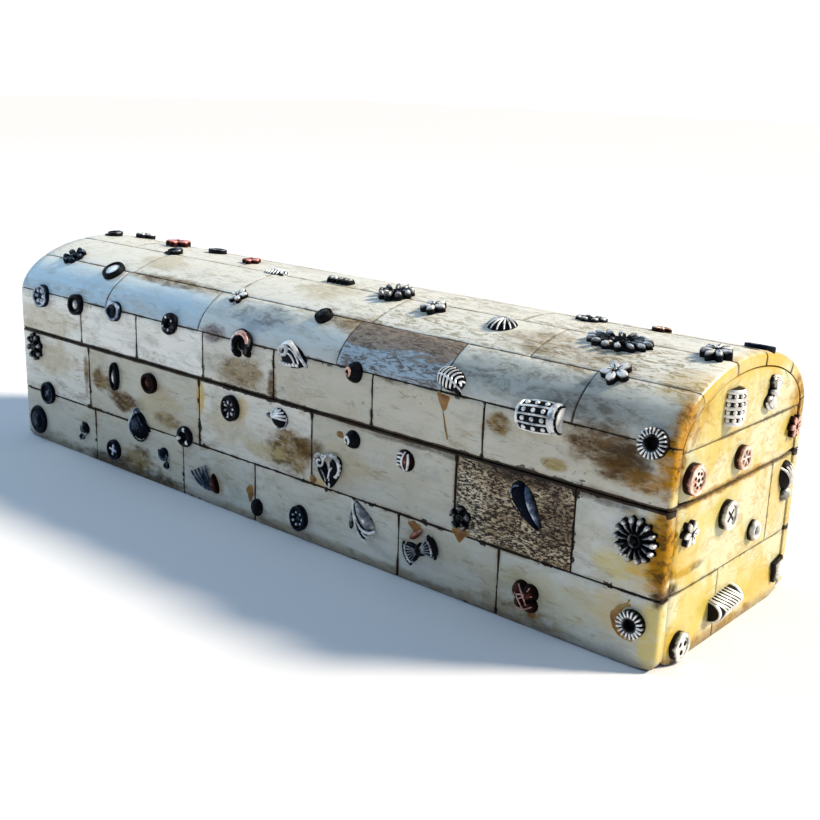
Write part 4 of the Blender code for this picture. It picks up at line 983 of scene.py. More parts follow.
def set_lid_plaques():
    # The last number of each row is its tone_and_light_tint: the vault front's paints blue sky light, and
    # the lid front wall's lightens its left plaques, partly a creamier bone and partly painted light
    rows = (
        ("lid_front_wall", LID_FRONT, "lid_front_plaques", None, 0.8, -1.5),
        ("vault_front", VAULT_FRONT, "lid_front_plaques", {3: STREAKED}, 0.4, 1.7),
        ("crown_front", CROWN_FRONT, "crown_plaques", None, 0.4, 0.0),
        ("crown_ridge", CROWN_RIDGE, "crown_plaques", None, 0.4, 0.0),
        ("crown_back", CROWN_BACK, "crown_plaques", None, 0.6, 0.0),
        ("vault_back", VAULT_BACK, "lid_back_plaques", None, 0.8, 0.3),
        ("lid_back_wall", LID_BACK, "lid_back_plaques", None, 0.9, 0.0),
    )
    half = FINE_GAP / 2
    for index, (name, joints, node, special, dirt, tone_and_light_tint) in enumerate(rows):
        low = COURSES[index] + (half if index else CONTACT_GAP / 2)
        high = COURSES[index + 1] - (half if index < len(rows) - 1 else CONTACT_GAP / 2)
        gap = JOINT_GAP if "wall" in name else FINE_GAP
        set_course(f"bone_{name}", LID, low, high, joints, node, special, 8, gap, dirt, tone_and_light_tint)
    lay_mastic("mastic_lid", LID, 0.7 * MM, LID.height - 0.7 * MM, MASTIC_INSET)

    for name, side, direction in (("right", LID_RIGHT, 1), ("left", LID_LEFT, -1)):
        node = f"lid_{name}_plaques"
        strip = (side, 0.0, LID_WALL_HEIGHT - half, (), node)
        set_course(f"bone_lid_{name}_strip", *strip, gap=FINE_GAP, dirt=END_DIRT)
        saw_half_moon(f"bone_lid_{name}_half_moon", direction, node)
        lay_mastic(f"mastic_lid_{name}", side, 0.5 * MM, LID_WALL_HEIGHT + 4 * MM, 0.2 * MM)


set_tray_plaques()
set_lid_plaques()
for wooden in ("tray_carcass", "lid_carcass"):
    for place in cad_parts[wooden].material_slots:
        place.material = WOOD


# The stud forms. Each lies flat at the middle, its face up, and its sizes are in millimetres


def at_level(at, level):
    """The place in metres of a point and a level in millimetres."""
    return (at[0] * MM, at[1] * MM, level * MM)


def is_top(face):
    return face.normal.z > 0.99


def disc(width, height, low, high, at=(0, 0), rounding=0.25, sides=36):
    """A round or oval blank between two levels, its upper edge rounded."""
    piece = newly(
        bpy.ops.mesh.primitive_cylinder_add,
        vertices=sides,
        radius=0.5,
        depth=1,
        location=at_level(at, (low + high) / 2),
        scale=(width * MM, height * MM, (high - low) * MM),
    )
    open_piece(piece, "FACE", is_top)
    bpy.ops.mesh.bevel(offset=rounding * MM, segments=2)
    close_piece()
    return piece


def dished(piece, rim, depth):
    """Sinks the top of a blank inside a rim."""
    open_piece(piece, "FACE", is_top)
    bpy.ops.mesh.inset(thickness=rim * MM)
    bpy.ops.mesh.inset(thickness=0.15 * MM, depth=-depth * MM)
    close_piece()
    return piece


def dome(width, height, low, high, at=(0, 0), sides=20):
    """The upper half of a ball, drawn out to an oval."""
    piece = newly(
        bpy.ops.mesh.primitive_uv_sphere_add,
        segments=sides,
        ring_count=12,
        radius=0.5,
        location=at_level(at, low),
        scale=(width * MM, height * MM, 2 * (high - low) * MM),
    )
    open_piece(piece, "FACE", any_part)
    bpy.ops.mesh.bisect(plane_co=(0, 0, low * MM), plane_no=(0, 0, 1), clear_inner=True, use_fill=True)
    close_piece()
    return piece


def ring(width, height, thick, low, high, at=(0, 0)):
    """A rounded rim between two levels."""
    bpy.ops.object.select_all(action="DESELECT")
    bpy.ops.mesh.primitive_torus_add(
        major_segments=36,
        minor_segments=10,
        major_radius=(width - thick) / 2 * MM,
        minor_radius=thick / 2 * MM,
        location=at_level(at, low),
    )
    piece = bpy.context.object
    piece.scale = (1, height / width, (high - low) / (thick / 2))
    return settle(piece)


def bead(size, low, at=(0, 0)):
    return newly(
        bpy.ops.mesh.primitive_ico_sphere_add,
        subdivisions=2,
        radius=size / 2 * MM,
        location=at_level(at, low),
    )


def moved(piece, at, turn):
    """Turns a flat-lying piece about the middle, in degrees, and takes it to its place."""
    place = Matrix.Translation(at_level(at, 0))
    piece.data.transform(place @ Matrix.Rotation(math.radians(turn), 4, "Z"))
    return piece


def bar(length, width, low, high, at=(0, 0), turn=0):
    """A straight ridge with a rounded back, turned about its own middle."""
    piece = newly(
        bpy.ops.mesh.primitive_cube_add,
        size=1,
        location=(0, 0, (low + high) / 2 * MM),
        scale=(length * MM, width * MM, (high - low) * MM),
    )
    open_piece(piece, "FACE", is_top)
    bpy.ops.mesh.bevel(offset=min(width * 0.4, 0.3) * MM, segments=2)
    close_piece()
    return moved(piece, at, turn)


def petal(inner, outer, width, low, high, point=0.0, turn=0, at=(0, 0)):
    """A swelling petal along X from its root to its tip.

    A point above 0 narrows it towards its tip, and one below 0 towards its root.
    """
    piece = dome(outer - inner, width, low, high, ((inner + outer) / 2, 0), 14)
    for vertex in piece.data.vertices:
        share = (vertex.co.x / MM - inner) / (outer - inner)
        vertex.co.y *= 1 - point * (share if point > 0 else share - 1)
    return moved(piece, at, turn)


def join(parts):
    bpy.ops.object.select_all(action="DESELECT")
    for part in parts:
        part.select_set(True)
    bpy.context.view_layer.objects.active = parts[0]
    if len(parts) > 1:
        bpy.ops.object.join()
    return parts[0]


def all_round(piece, count, start=0.0):
    """Copies of a piece set round the middle."""
    parts = [piece]
    for index in range(1, count):
        part = piece.copy()
        part.data = piece.data.copy()
        bpy.context.collection.objects.link(part)
        part.data.transform(Matrix.Rotation(math.tau * index / count, 4, "Z"))
        parts.append(part)
    whole = join(parts)
    whole.data.transform(Matrix.Rotation(math.radians(start), 4, "Z"))
    return whole


def wire(points, thick, level, ends=0.7):
    """A cast ridge, round in section, along points on X and Y. It thins towards its ends."""
    curve = bpy.data.curves.new("ridge", "CURVE")
    curve.dimensions = "3D"
    curve.bevel_depth = thick / 2 * MM
    curve.bevel_resolution = 2
    curve.use_fill_caps = True
    line = curve.splines.new("POLY")
    line.points.add(len(points) - 1)
    for index, (x, y) in enumerate(points):
        share = index / (len(points) - 1)
        line.points[index].co = (x * MM, y * MM, level * MM, 1)
        line.points[index].radius = ends + (1 - ends) * math.sin(math.pi * share)
    piece = bpy.data.objects.new("ridge", curve)
    bpy.context.collection.objects.link(piece)
    choose_only(piece)
    bpy.ops.object.convert(target="MESH")
    return bpy.context.object


def arc(middle, radius, first, last, steps=10, grow=0.0):
    """Points on a turn between two angles in degrees. It widens by grow over its length."""
    points = []
    for step in range(steps + 1):
        share = step / steps
        angle = math.radians(first + (last - first) * share)
        reach = radius + grow * share
        points.append((middle[0] + reach * math.cos(angle), middle[1] + reach * math.sin(angle)))
    return points


def bow_line(start, end, sag, steps=8):
    """Points on a shallow curve from start to end, bowed to its left by sag."""
    (x0, y0), (x1, y1) = start, end
    length = math.hypot(x1 - x0, y1 - y0)
    side = (-(y1 - y0) / length, (x1 - x0) / length)
    points = []
    for step in range(steps + 1):
        share = step / steps
        off = sag * 4 * share * (1 - share)
        points.append((x0 + (x1 - x0) * share + side[0] * off, y0 + (y1 - y0) * share + side[1] * off))
    return points


def rubbed(part, top, foot=None):
    """How bright a part of a casting is, from its foot to its top: 0 black, 1 bright. The marks are rubbed
    wear and painted light both: set higher where the sun falls, on the right end and the crown, and lower on
    the shaded front.
    """
    peak = max(vertex.co.z for vertex in part.data.vertices)
    relief = part.data.attributes.new("relief", "FLOAT", "POINT")
    for vertex, mark in zip(part.data.vertices, relief.data):
        share = max(0.0, vertex.co.z / peak)
        mark.value = top if foot is None else foot + (top - foot) * share
    return part


def draped(line, width, height, low, high, at=(0, 0)):
    """Lays a ridge over a dome of these sizes."""
    for vertex in line.data.vertices:
        x = 2 * (vertex.co.x / MM - at[0]) / width
        y = 2 * (vertex.co.y / MM - at[1]) / height
        vertex.co.z += (low + (high - low) * math.sqrt(max(0.0, 1 - x * x - y * y))) * MM
    return line


def rosette(width, count, rise, slim=0.92, tip=1.0):
    """Many long petals, brightest at their tips, round a small pip in a hollow."""
    across = math.tau * 0.36 * width / count * slim
    blade = petal(0.13 * width, 0.50 * width, across, 0.1 * rise, 0.95 * rise, -0.75)
    end = disc(0.16 * width, 0.88 * across, 0, rise, (0.41 * width, 0), 0.4 * rise, 14)
    petals = all_round(join([rubbed(blade, 0.72 * tip, -0.2), rubbed(end, tip, -0.1)]), count)
    return [
        rubbed(disc(0.84 * width, 0.84 * width, -0.5, 0.28 * rise), 0.0),
        petals,
        rubbed(ring(0.32 * width, 0.32 * width, 0.07 * width, 0.45 * rise, 0.75 * rise), 0.45),
        rubbed(dome(0.16 * width, 0.16 * width, 0.25 * rise, 0.85 * rise, sides=12), 0.5, 0.0),
    ]


def flower(width, count, rise):
    """A few broad bright petals with dark gaps, round a dark star and a small eye."""
    across = 1.85 * math.sin(math.pi / count) * 0.30 * width
    blade = disc(0.44 * width, across, -0.3, rise, (0.28 * width, 0), 0.35 * rise, 20)
    crease = petal(0.04 * width, 0.34 * width, 0.30 * across, 0.6 * rise, 1.06 * rise, 0.6)
    return [
        rubbed(disc(0.62 * width, 0.62 * width, -0.5, 0.45 * rise), 0.0),
        all_round(join([rubbed(blade, 1.15, -0.8), rubbed(crease, -0.1)]), count),
        rubbed(dome(0.32 * width, 0.32 * width, 0.3 * rise, 1.06 * rise, sides=14), 0.0),
        rubbed(dome(0.12 * width, 0.12 * width, 0.9 * rise, 1.16 * rise, sides=12), 0.8),
    ]


def coin(width, height, rise, emblem=(), rim=0.55):
    """A disc with a raised rim round a sunk field, which may carry an emblem."""
    blank = dished(disc(width, height, -0.5, rise), 0.10 * width, 0.36 * rise)
    edge = ring(0.93 * width, 0.93 * height, 0.05 * width, 0.86 * rise, 1.04 * rise)
    return [rubbed(blank, rim, -0.3), rubbed(edge, rim + 0.3), *emblem]


def saucer(width, height, rise):
    """A dished face in a black rim, its face marked fully bright: a painted highlight of the sun caught in
    the dish as well as rubbed wear.
    """
    return [
        rubbed(disc(width, height, -0.5, 0.7 * rise), 0.0),
        rubbed(ring(width, height, 0.16 * width, 0.4 * rise, rise), 0.1),
        rubbed(dome(0.72 * width, 0.66 * height, 0.6 * rise, 0.95 * rise), 1.0),
    ]


def crossed(length, width, low, high, turn, bright):
    """Two bars across each other."""
    return [rubbed(bar(length, width, low, high, turn=turn + angle), bright) for angle in (0, 90)]


def cross(width, rise, turn=45):
    """The cross on a coin of this width."""
    return crossed(0.62 * width, 0.12 * width, 0.4 * rise, 0.95 * rise, turn, 1.0)


def holes(count, radius, size, level, start=0, middle=True):
    """Black pits sunk round the face of a stud, and one in its middle."""
    pits = [all_round(disc(size, size, level - 0.5, level, (radius, 0), 0.1, 10), count, start)]
    if middle:
        pits.append(disc(1.2 * size, 1.2 * size, level - 0.5, level, (0, 0), 0.1, 12))
    return [rubbed(pit, -0.3) for pit in pits]


def dots(count, radius, size, level, start=0):
    """Bright beads round the face of a stud."""
    return rubbed(all_round(bead(size, level, (radius, 0)), count, start), 1.0)


def ring_stud(width, height, rise, thick=0.26, rim=0.6):
    """A thick ring round a deep eye with a pip in it."""
    return [
        rubbed(disc(0.9 * width, 0.9 * height, -0.5, 0.3 * rise), 0.0),
        rubbed(ring(width, height, thick * width, 0.35 * rise, rise), rim, 0.0),
        rubbed(dome(0.2 * width, 0.2 * height, 0.1 * rise, 0.6 * rise, sides=12), 0.4, 0.0),
    ]


def gear(width, teeth, rise):
    """Fine ribs, like a cog's, round a deep dark hole."""
    pitch = math.tau * 0.36 * width / teeth
    rib = bar(0.21 * width, pitch / 2, 0.2 * rise, rise, (0.385 * width, 0))
    blank = disc(0.96 * width, 0.96 * width, -0.5, 0.62 * rise)
    return [
        rubbed(dished(blank, 0.26 * width, 0.5 * rise), 0.1, -0.2),
        rubbed(all_round(rib, teeth), 1.05, -0.1),
        rubbed(ring(0.56 * width, 0.56 * width, 0.06 * width, 0.6 * rise, 0.92 * rise), 0.55),
    ]


def domed(width, height, rise, rim=0.12, top=0.6):
    """A smooth dome in a rim."""
    inner = 1 - 1.4 * rim
    return [
        rubbed(disc(0.96 * width, 0.96 * height, -0.5, 0.3 * rise), 0.0),
        rubbed(ring(width, height, rim * width, 0.25 * rise, 0.6 * rise), 0.35),
        rubbed(dome(inner * width, inner * height, 0.2 * rise, rise), top, 0.0),
    ]


def oval_flower(width, height, count, rise, slim=0.92, tip=1.0):
    """A rosette drawn out to an oval."""
    parts = rosette(width, count, rise, slim, tip)
    for part in parts:
        part.data.transform(Matrix.Diagonal((1, height / width, 1, 1)))
    return parts


def ribbed_dome(width, height, rise, count):
    """A low dome with bright ribs that spread from a point near one edge."""
    parts = [rubbed(dome(width, height, -0.4, rise), 0.0)]
    for index in range(count):
        angle = math.tau * index / count
        right, up = width * math.cos(angle), height * math.sin(angle)
        start, end = (0.08 * right, 0.2 * height + 0.08 * up), (0.48 * right, 0.48 * up)
        rib = wire(bow_line(start, end, 0.0), 0.50, 0.0, 0.7)
        parts.append(rubbed(draped(rib, width, height, 0, rise), 1.0))
    return parts


def fan_shell():
    """A scallop with its hinge up and its ribs spread below."""
    ribs = []
    for turn in (-33, -22, -11, 0, 11, 22, 33):
        reach = 8.9 - 0.012 * abs(turn) ** 1.2
        rib = petal(0.8, reach, 1.75, 0.2, 1.9, -0.8, turn - 90, (0, 4.3))
        ribs.append(rubbed(rib, 0.62, -0.2))
    edge = wire([(-0.3, 4.5), *arc((-0.2, -0.9), 4.1, 150, 205, 8)], 0.75, 1.1, 0.8)
    foot = wire(arc((-0.2, -0.9), 4.0, 205, 385, 14), 0.5, 0.7, 0.8)
    body = dome(7.4, 8.6, -0.3, 1.1, (0, -0.2))
    hinge = dome(2.0, 1.8, 0.2, 1.8, (0, 4.0), 12)
    return [rubbed(body, 0.0), *ribs, rubbed(edge, 1.0), rubbed(foot, 0.4), rubbed(hinge, 0.8)]


def ribbed_shell():
    """A round shell with a beak to its left and bright ribs that spread over its upper half."""
    parts = [rubbed(dome(6.2, 5.4, -0.4, 1.7, (0.6, 0)), 0.1)]
    parts.append(rubbed(petal(0.6, 4.4, 2.4, -0.3, 1.4, 0.7, 184), 0.75, 0.0))
    for angle in (128, 104, 80, 56, 32, 8):
        end = (0.6 + 2.9 * math.cos(math.radians(angle)), 2.45 * math.sin(math.radians(angle)))
        rib = wire(bow_line((-2.2, -0.3), end, 0.35), 0.62, 0.0, 0.75)
        parts.append(rubbed(draped(rib, 6.4, 5.6, -0.1, 1.7, (0.6, 0)), 1.0))
    rim = wire(arc((0.6, 0), 2.75, -100, 20, 12), 0.45, 0.4, 0.8)
    return [*parts, rubbed(rim, 0.8)]


def striped_shell():
    """The pale stripes of an oval shell: short ones on its left and long ones down its middle."""
    lines = [
        bow_line((-2.5 + 0.16 * step, 0.9 - 0.9 * step), (-0.3, 1.75 - 0.92 * step), 0.2)
        for step in range(4)
    ]
    lines += [bow_line((0.1, 2.35), (0.7, -2.3), -0.5), bow_line((0.95, 2.1), (1.25, -1.9), 0.55)]
    return [rubbed(draped(wire(line, 0.5, 0.05), 5.8, 5.6, 0, 1.6), 1.0) for line in lines]


def heart_leaves():
    """Two leaves that spring from one tip, their lips scrolled and bright."""
    small = petal(0, 8.8, 4.6, -0.3, 1.5, -0.55, 116, (0.3, -4.7))
    large = petal(0, 9.6, 5.6, -0.3, 1.7, -0.55, 68, (0.0, -4.7))
    lines = [
        (arc((-2.2, 2.1), 0.4, 40, 430, 16, 1.1), 0.6, 1.35),
        (arc((1.6, 1.6), 2.6, 160, -66, 14, 0.3), 0.8, 1.2),
        (bow_line((3.0, -0.6), (0.5, -4.3), -0.6), 0.7, 1.0),
        (bow_line((-3.3, 0.6), (-0.7, -3.8), 0.5), 0.6, 0.9),
        (bow_line((1.3, 2.9), (0.7, -1.6), 0.5), 0.45, 1.6),
        (bow_line((2.4, 1.4), (1.1, -2.2), -0.4), 0.45, 1.5),
        (bow_line((-1.7, 0.2), (-0.3, -2.6), 0.2), 0.4, 1.3),
    ]
    lips = [bead(0.85, 1.1, place) for place in arc((1.6, 1.6), 2.75, 150, -60, 9, 0.3)]
    lips += [bead(0.75, 1.1, place) for place in arc((-2.1, 2.2), 1.95, 60, 235, 6)]
    pale = [wire(*line) for line in lines] + lips + [dome(1.5, 1.2, 1.0, 2.0, (1.6, 0.9), 12)]
    return [rubbed(small, 0.15), rubbed(large, 0.15), *(rubbed(part, 0.95) for part in pale)]


def teardrop(width, length, rise):
    """A drop, its round end up and its tip down, with a paler cut flank and a few fine grooves. The bright
    arc round its round end is a painted highlight.
    """
    body = petal(-length / 2, length / 2, width, -0.3, rise, -0.92, 90)
    flank = petal(-length / 2, 0.36 * length, 0.42 * width, -0.3, 0.8 * rise, -0.7, 84, (0.21 * width, 0))
    # Painted highlight: a bright arc round the round end of the drop
    head_highlight = wire(arc((0, 0.22 * length), 0.30 * width, 60, 170, 8), 0.5, 0.0, 0.7)
    lines = [
        wire(bow_line((x * width, 0.24 * length), (x * 0.4 * width, -0.20 * length), 0.1), 0.28, 0.0, 0.8)
        for x in (-0.28, -0.16, -0.04)
    ]
    shape = (width, 0.86 * length, 0.0, rise, (0, 0.07 * length))
    return [
        rubbed(body, 0.32, 0.0),
        rubbed(flank, 0.86, 0.5),
        rubbed(draped(head_highlight, *shape), 0.8),
        *(rubbed(draped(line, *shape), 0.5) for line in lines),
    ]


def comma_leaf():
    """A round lobe with a lip that runs on round a small one, like a comma."""
    lip = [(3.0, 1.6), *arc((1.5, 0.2), 1.7, 70, 250, 8), (-1.0, -0.7), (-3.1, 0.1)]
    return [
        rubbed(dome(3.6, 4.0, -0.3, 1.8, (1.5, 0.2), 14), 0.5, 0.0),
        rubbed(wire(lip, 0.9, 0.8, 0.5), 0.7),
        rubbed(dome(2.3, 2.1, -0.3, 1.4, (-2.0, 0.3), 12), 0.35, 0.0),
    ]


def feather_comb():
    """Fine curved quills that sweep down to the right and gather under a lobe."""
    parts = [rubbed(petal(0, 8.4, 2.8, -0.4, 0.5, -0.9, 150, (3.6, -3.0)), 0.0)]
    for step in range(5):
        start, end = (-5.6 + 1.5 * step, 1.0 + 0.75 * step), (3.2 + 0.25 * step, -2.6)
        parts.append(rubbed(wire(bow_line(start, end, -1.3 + 0.15 * step), 0.75, 0.7), 0.66))
    return parts


def folded_tent():
    """A smooth pale facet sloping from an apex at its upper left, with dark folds and bright lips."""
    facet = petal(0, 9.4, 5.0, -0.3, 2.2, -0.78, -49, (-2.9, 5.0))
    middle = petal(0, 10.0, 4.4, -0.4, 1.3, -0.8, -72, (-2.9, 4.6))
    flap = petal(0, 8.2, 2.3, -0.4, 1.2, -0.9, -101, (-3.0, 4.6))
    lips = [
        wire(bow_line((-2.9, 5.0), (-0.4, -1.2), -0.7), 0.55, 1.4),
        wire(bow_line((-0.4, -1.2), (4.6, -0.9), -0.9), 0.75, 1.5),
        wire(bow_line((-3.3, 4.4), (-1.6, -2.6), -0.4), 0.5, 1.0),
        wire(bow_line((-1.6, -2.6), (1.4, -4.8), -0.4), 0.5, 0.9),
        wire(bow_line((-0.2, -2.6), (3.6, -2.6), -0.8), 0.5, 0.9),
    ]
    return [
        rubbed(facet, 0.82, 0.55),
        rubbed(middle, 0.30, 0.0),
        rubbed(flap, 0.72, 0.3),
        *(rubbed(lip, 0.98) for lip in lips),
    ]


def bow_tie(width, height, rise, pale=0.0):
    """Two solid ribbed wings with bright lips, tied at a narrow waist."""
    parts = [rubbed(dome(0.26 * width, 0.46 * height, -0.3, 0.95 * rise, sides=14), 0.4 + pale, 0.0)]
    for side in (0, 180):
        wing = petal(-0.02 * width, 0.5 * width, 0.98 * height, -0.3, 0.72 * rise, -0.74, side)
        parts.append(rubbed(wing, 0.12 + pale, 0.0))
        for turn in (-30, -18, -6, 6, 18, 30):
            angle = math.radians(side + turn)
            tip = (0.44 * width * math.cos(angle), 0.44 * width * math.sin(angle))
            foot = (tip[0] * 0.2, tip[1] * 0.2)
            parts.append(rubbed(wire(bow_line(foot, tip, 0.0), 0.32, 0.66 * rise, 0.8), 0.72 + pale))
        edge = arc((0, 0), 0.47 * width, side - 36, side + 36, 10)
        parts.append(rubbed(wire(edge, 0.085 * width, 0.42 * rise, 0.8), 0.1 + pale))
        inner = arc((0, 0), 0.395 * width, side - 34, side + 34, 10)
        parts.append(rubbed(wire(inner, 0.045 * width, 0.66 * rise, 0.8), 0.85))
    return parts


def knot(width, height, rise):
    """An uneven lobed lump scored with fine lines, like knotted cord."""
    parts = []
    for long, broad, tall, x, y in (
        (0.66, 0.60, 0.95, -0.16, 0.18),
        (0.62, 0.56, 1.0, 0.18, 0.12),
        (0.56, 0.50, 0.86, 0.16, -0.24),
        (0.50, 0.44, 0.80, -0.20, -0.16),
    ):
        lobe = dome(long * width, broad * height, -0.3, tall * rise, (x * width, y * height), 16)
        parts.append(rubbed(lobe, 0.62, 0.1))
    for x0, y0, x1, y1, sag in (
        (-0.38, 0.34, 0.05, -0.30, 0.5),
        (-0.10, 0.42, 0.20, -0.16, 0.4),
        (0.30, 0.34, -0.05, 0.02, 0.4),
        (-0.30, -0.28, 0.36, -0.20, -0.5),
        (-0.42, 0.05, 0.40, 0.10, 0.6),
    ):
        score = wire(bow_line((x0 * width, y0 * height), (x1 * width, y1 * height), sag), 0.34, 0.0)
        parts.append(rubbed(draped(score, 1.12 * width, 1.12 * height, 0, 1.02 * rise), 0.95))
    return parts


def horseshoe():
    """A thick ring open below, its ends swollen."""
    return [
        rubbed(wire(arc((0, -0.2), 2.9, -58, 238, 18), 2.2, 0.9, 0.75), 0.55, 0.0),
        rubbed(wire(arc((0, -0.2), 2.9, 95, 215, 12), 0.6, 1.9, 0.9), 0.9),
        rubbed(dome(2.0, 2.0, -0.3, 1.6, (1.9, -2.7), 12), 0.45, 0.0),
        rubbed(dome(2.0, 2.0, -0.3, 1.6, (-1.9, -2.7), 12), 0.45, 0.0),
        rubbed(disc(3.8, 3.6, -0.4, 0.5, (0, -0.1)), 0.0),
    ]


def snail():
    """A coil with a ring for its eye, a bright crest to a pointed tail, and beads along its foot."""
    shape = (10.4, 6.4, 0.0, 1.3, (-0.6, 0.2))
    crest = [*arc((-2.1, 0.3), 2.7, 200, 62, 10), (0.9, 1.9), (2.6, 0.4), (4.9, -2.1)]
    lines = [
        wire(crest, 1.25, 0.1, 0.6),
        wire(bow_line((-1.2, 1.6), (2.6, -1.7), 0.9), 0.6, 0.1),
        wire(bow_line((-1.3, 0.4), (1.3, -1.9), 0.6), 0.55, 0.1),
    ]
    parts = [rubbed(petal(0, 10.0, 7.4, -0.3, 1.3, 0.45, -8, (-4.9, 0.4)), 0.1)]
    parts.append(rubbed(ring(2.9, 2.9, 0.85, 1.0, 2.0, (-2.8, 0.8)), 1.0))
    parts.append(rubbed(dome(1.2, 1.2, 0.8, 1.6, (-2.8, 0.8), 10), 0.0))
    parts += [rubbed(draped(line, *shape), 1.0) for line in lines]
    for step in range(6):
        parts.append(rubbed(bead(1.2, 0.5, (-3.9 + 1.15 * step, -2.3 - 0.25 * math.sin(step))), 1.0))
    return parts


def dark_bead(width, rise):
    """A round, dark bead."""
    return [rubbed(dome(width, width, -0.4, rise), 0.34, 0.0)]


def curl(width, rise):
    """The small bright coil on a round bead."""
    coil = arc((-0.14 * width, 0), 0.10 * width, 300, -60, 14, 0.12 * width)
    return [rubbed(draped(wire(coil, 0.13 * width, 0.0, 0.6), width, width, 0, rise), 1.0)]


def veined_leaf(length, width, rise):
    """A round leaf, its tip to the lower right, with a curved midrib and close bright veins."""
    shape = (length, width, -0.1, rise)
    parts = [rubbed(dome(length, width, -0.4, rise), 0.05)]
    parts.append(rubbed(petal(0.2 * length, 0.6 * length, 0.5 * width, -0.3, 0.6 * rise, 0.8, -28), 0.1))
    start, end = (-0.47 * length, -0.10 * width), (0.50 * length, -0.30 * width)
    parts.append(rubbed(draped(wire(bow_line(start, end, 0.16 * width), 0.55, 0.0), *shape), 0.9))
    for step in range(7):
        x = (-0.38 + 0.125 * step) * length
        y = (-0.02 + 0.05 * math.sin(0.5 * step)) * width
        reach = width * 0.46 * math.sqrt(max(0.05, 1 - (2.1 * x / length + 0.25) ** 2))
        for end in ((x + 0.10 * length, reach), (x + 0.06 * length, -reach)):
            vein = wire(bow_line((x, y), end, 0.2), 0.5, 0.0, 0.8)
            parts.append(rubbed(draped(vein, *shape), 1.0))
    return parts


def half_barrel(length, width, rise, ridges=(), dotted=(), bands=(), across=(), cap=0.0):
    """A swelling half-round bead. Ridges and rows of dots run along it, bands and dots round it."""
    rim, top = 0.92 * width, rise - 0.35
    lying = (0, math.radians(90), 0)

    def slim(share):
        return 1 - 0.14 * (2 * share - 1) ** 2

    def skin(share, angle, lift=0.0):
        """The place over the barrel at a share of its length and an angle up from its right side."""
        girth = slim(share)
        y = math.cos(math.radians(angle)) * (rim / 2 + lift) * girth
        return Vector(((share - 0.5) * length, y, math.sin(math.radians(angle)) * (top + lift) * girth)) * MM

    def rib(places, thick):
        """A ridge through places on the skin."""
        line = wire([(place.x / MM, place.y / MM) for place in places], thick, 0.0, 0.9)
        for vertex in line.data.vertices:
            near = min(places, key=lambda place: (place.xy - vertex.co.xy).length)
            vertex.co.z += near.z
        return line

    def dot_on(share, angle, size, lift):
        dot = bead(size, 0)
        dot.data.transform(Matrix.Translation(skin(share, angle, lift)))
        return rubbed(dot, 1.0)

    body = newly(
        bpy.ops.mesh.primitive_cylinder_add,
        vertices=40,
        radius=0.5,
        depth=0.97 * length * MM,
        rotation=lying,
    )
    for share in (0.2, 0.35, 0.5, 0.65, 0.8):
        open_piece(body, "FACE", any_part)
        bpy.ops.mesh.bisect(plane_co=((share - 0.5) * length * MM, 0, 0), plane_no=(1, 0, 0))
        close_piece()
    for vertex in body.data.vertices:
        girth = slim(vertex.co.x / (length * MM) + 0.5)
        vertex.co = (vertex.co.x, vertex.co.y * rim * girth * MM, vertex.co.z * 2 * top * girth * MM)
    parts = [rubbed(body, 0.05)]
    for angle in ridges:
        ridge = rib([skin(0.04 + 0.115 * step, angle) for step in range(9)], 0.5)
        parts.append(rubbed(ridge, 0.95))
    for angle in dotted:
        parts += [dot_on(share, angle, 1.15, -0.15) for share in (0.20, 0.44, 0.68)]
    for share, thick in bands:
        hoop = newly(
            bpy.ops.mesh.primitive_torus_add,
            major_segments=40,
            minor_segments=8,
            major_radius=0.5,
            minor_radius=0.05,
            rotation=lying,
        )
        for vertex in hoop.data.vertices:
            x, y, z = vertex.co
            vertex.co = (x * 20 * thick * MM, y * rim * slim(share) * MM, z * 2 * top * slim(share) * MM)
        hoop.data.transform(Matrix.Translation(((share - 0.5) * length * MM, 0, 0)))
        parts.append(rubbed(hoop, 0.95))
    for share in across:
        parts += [dot_on(share, angle, 0.95, -0.1) for angle in range(15, 180, 30)]
    if cap:
        lid = newly(
            bpy.ops.mesh.primitive_cylinder_add,
            vertices=32,
            radius=0.5,
            depth=0.4 * MM,
            location=(0.485 * length * MM, 0, 0),
            rotation=lying,
        )
        lid.data.transform(Matrix.Diagonal((1, 0.78 * rim * MM, 1.56 * top * MM, 1)))
        parts.append(rubbed(lid, cap))
    whole = join(parts)
    open_piece(whole, "FACE", any_part)
    bpy.ops.mesh.bisect(plane_co=(0, 0, -0.4 * MM), plane_no=(0, 0, 1), clear_inner=True)
    close_piece()
    return [whole]


ENDLESS = 1e6  # for a dome drawn out to a half-round bar


def chevron_block(length, width, rise):
    """A half-round block cut all over with fine V-shaped ridges, between two thin lips."""
    parts = half_barrel(length, width, rise, bands=((0.05, 0.5), (0.95, 0.5)))
    for step in range(8):
        for side in (-1, 1):
            share = -0.30 + 0.105 * step
            start = (min(share + 0.06, 0.45) * length, 0)
            end = (max(share - 0.24, -0.46) * length, side * 0.47 * width)
            line = wire(bow_line(start, end, 0.0), 0.5, 0.0, 0.9)
            parts.append(rubbed(draped(line, ENDLESS, 0.98 * width, -0.1, rise - 0.4), 1.0))
    return parts


def wheel(width, rise):
    """A dished disc with spokes and a hub."""
    spoke = rubbed(bar(0.34 * width, 0.07 * width, 0.5 * rise, 0.95 * rise, (0.22 * width, 0)), 1.0)
    hub = rubbed(dome(0.24 * width, 0.24 * width, 0.4 * rise, rise, sides=12), 1.0, 0.5)
    return coin(width, width, rise, [all_round(spoke, 6), hub], 0.9)


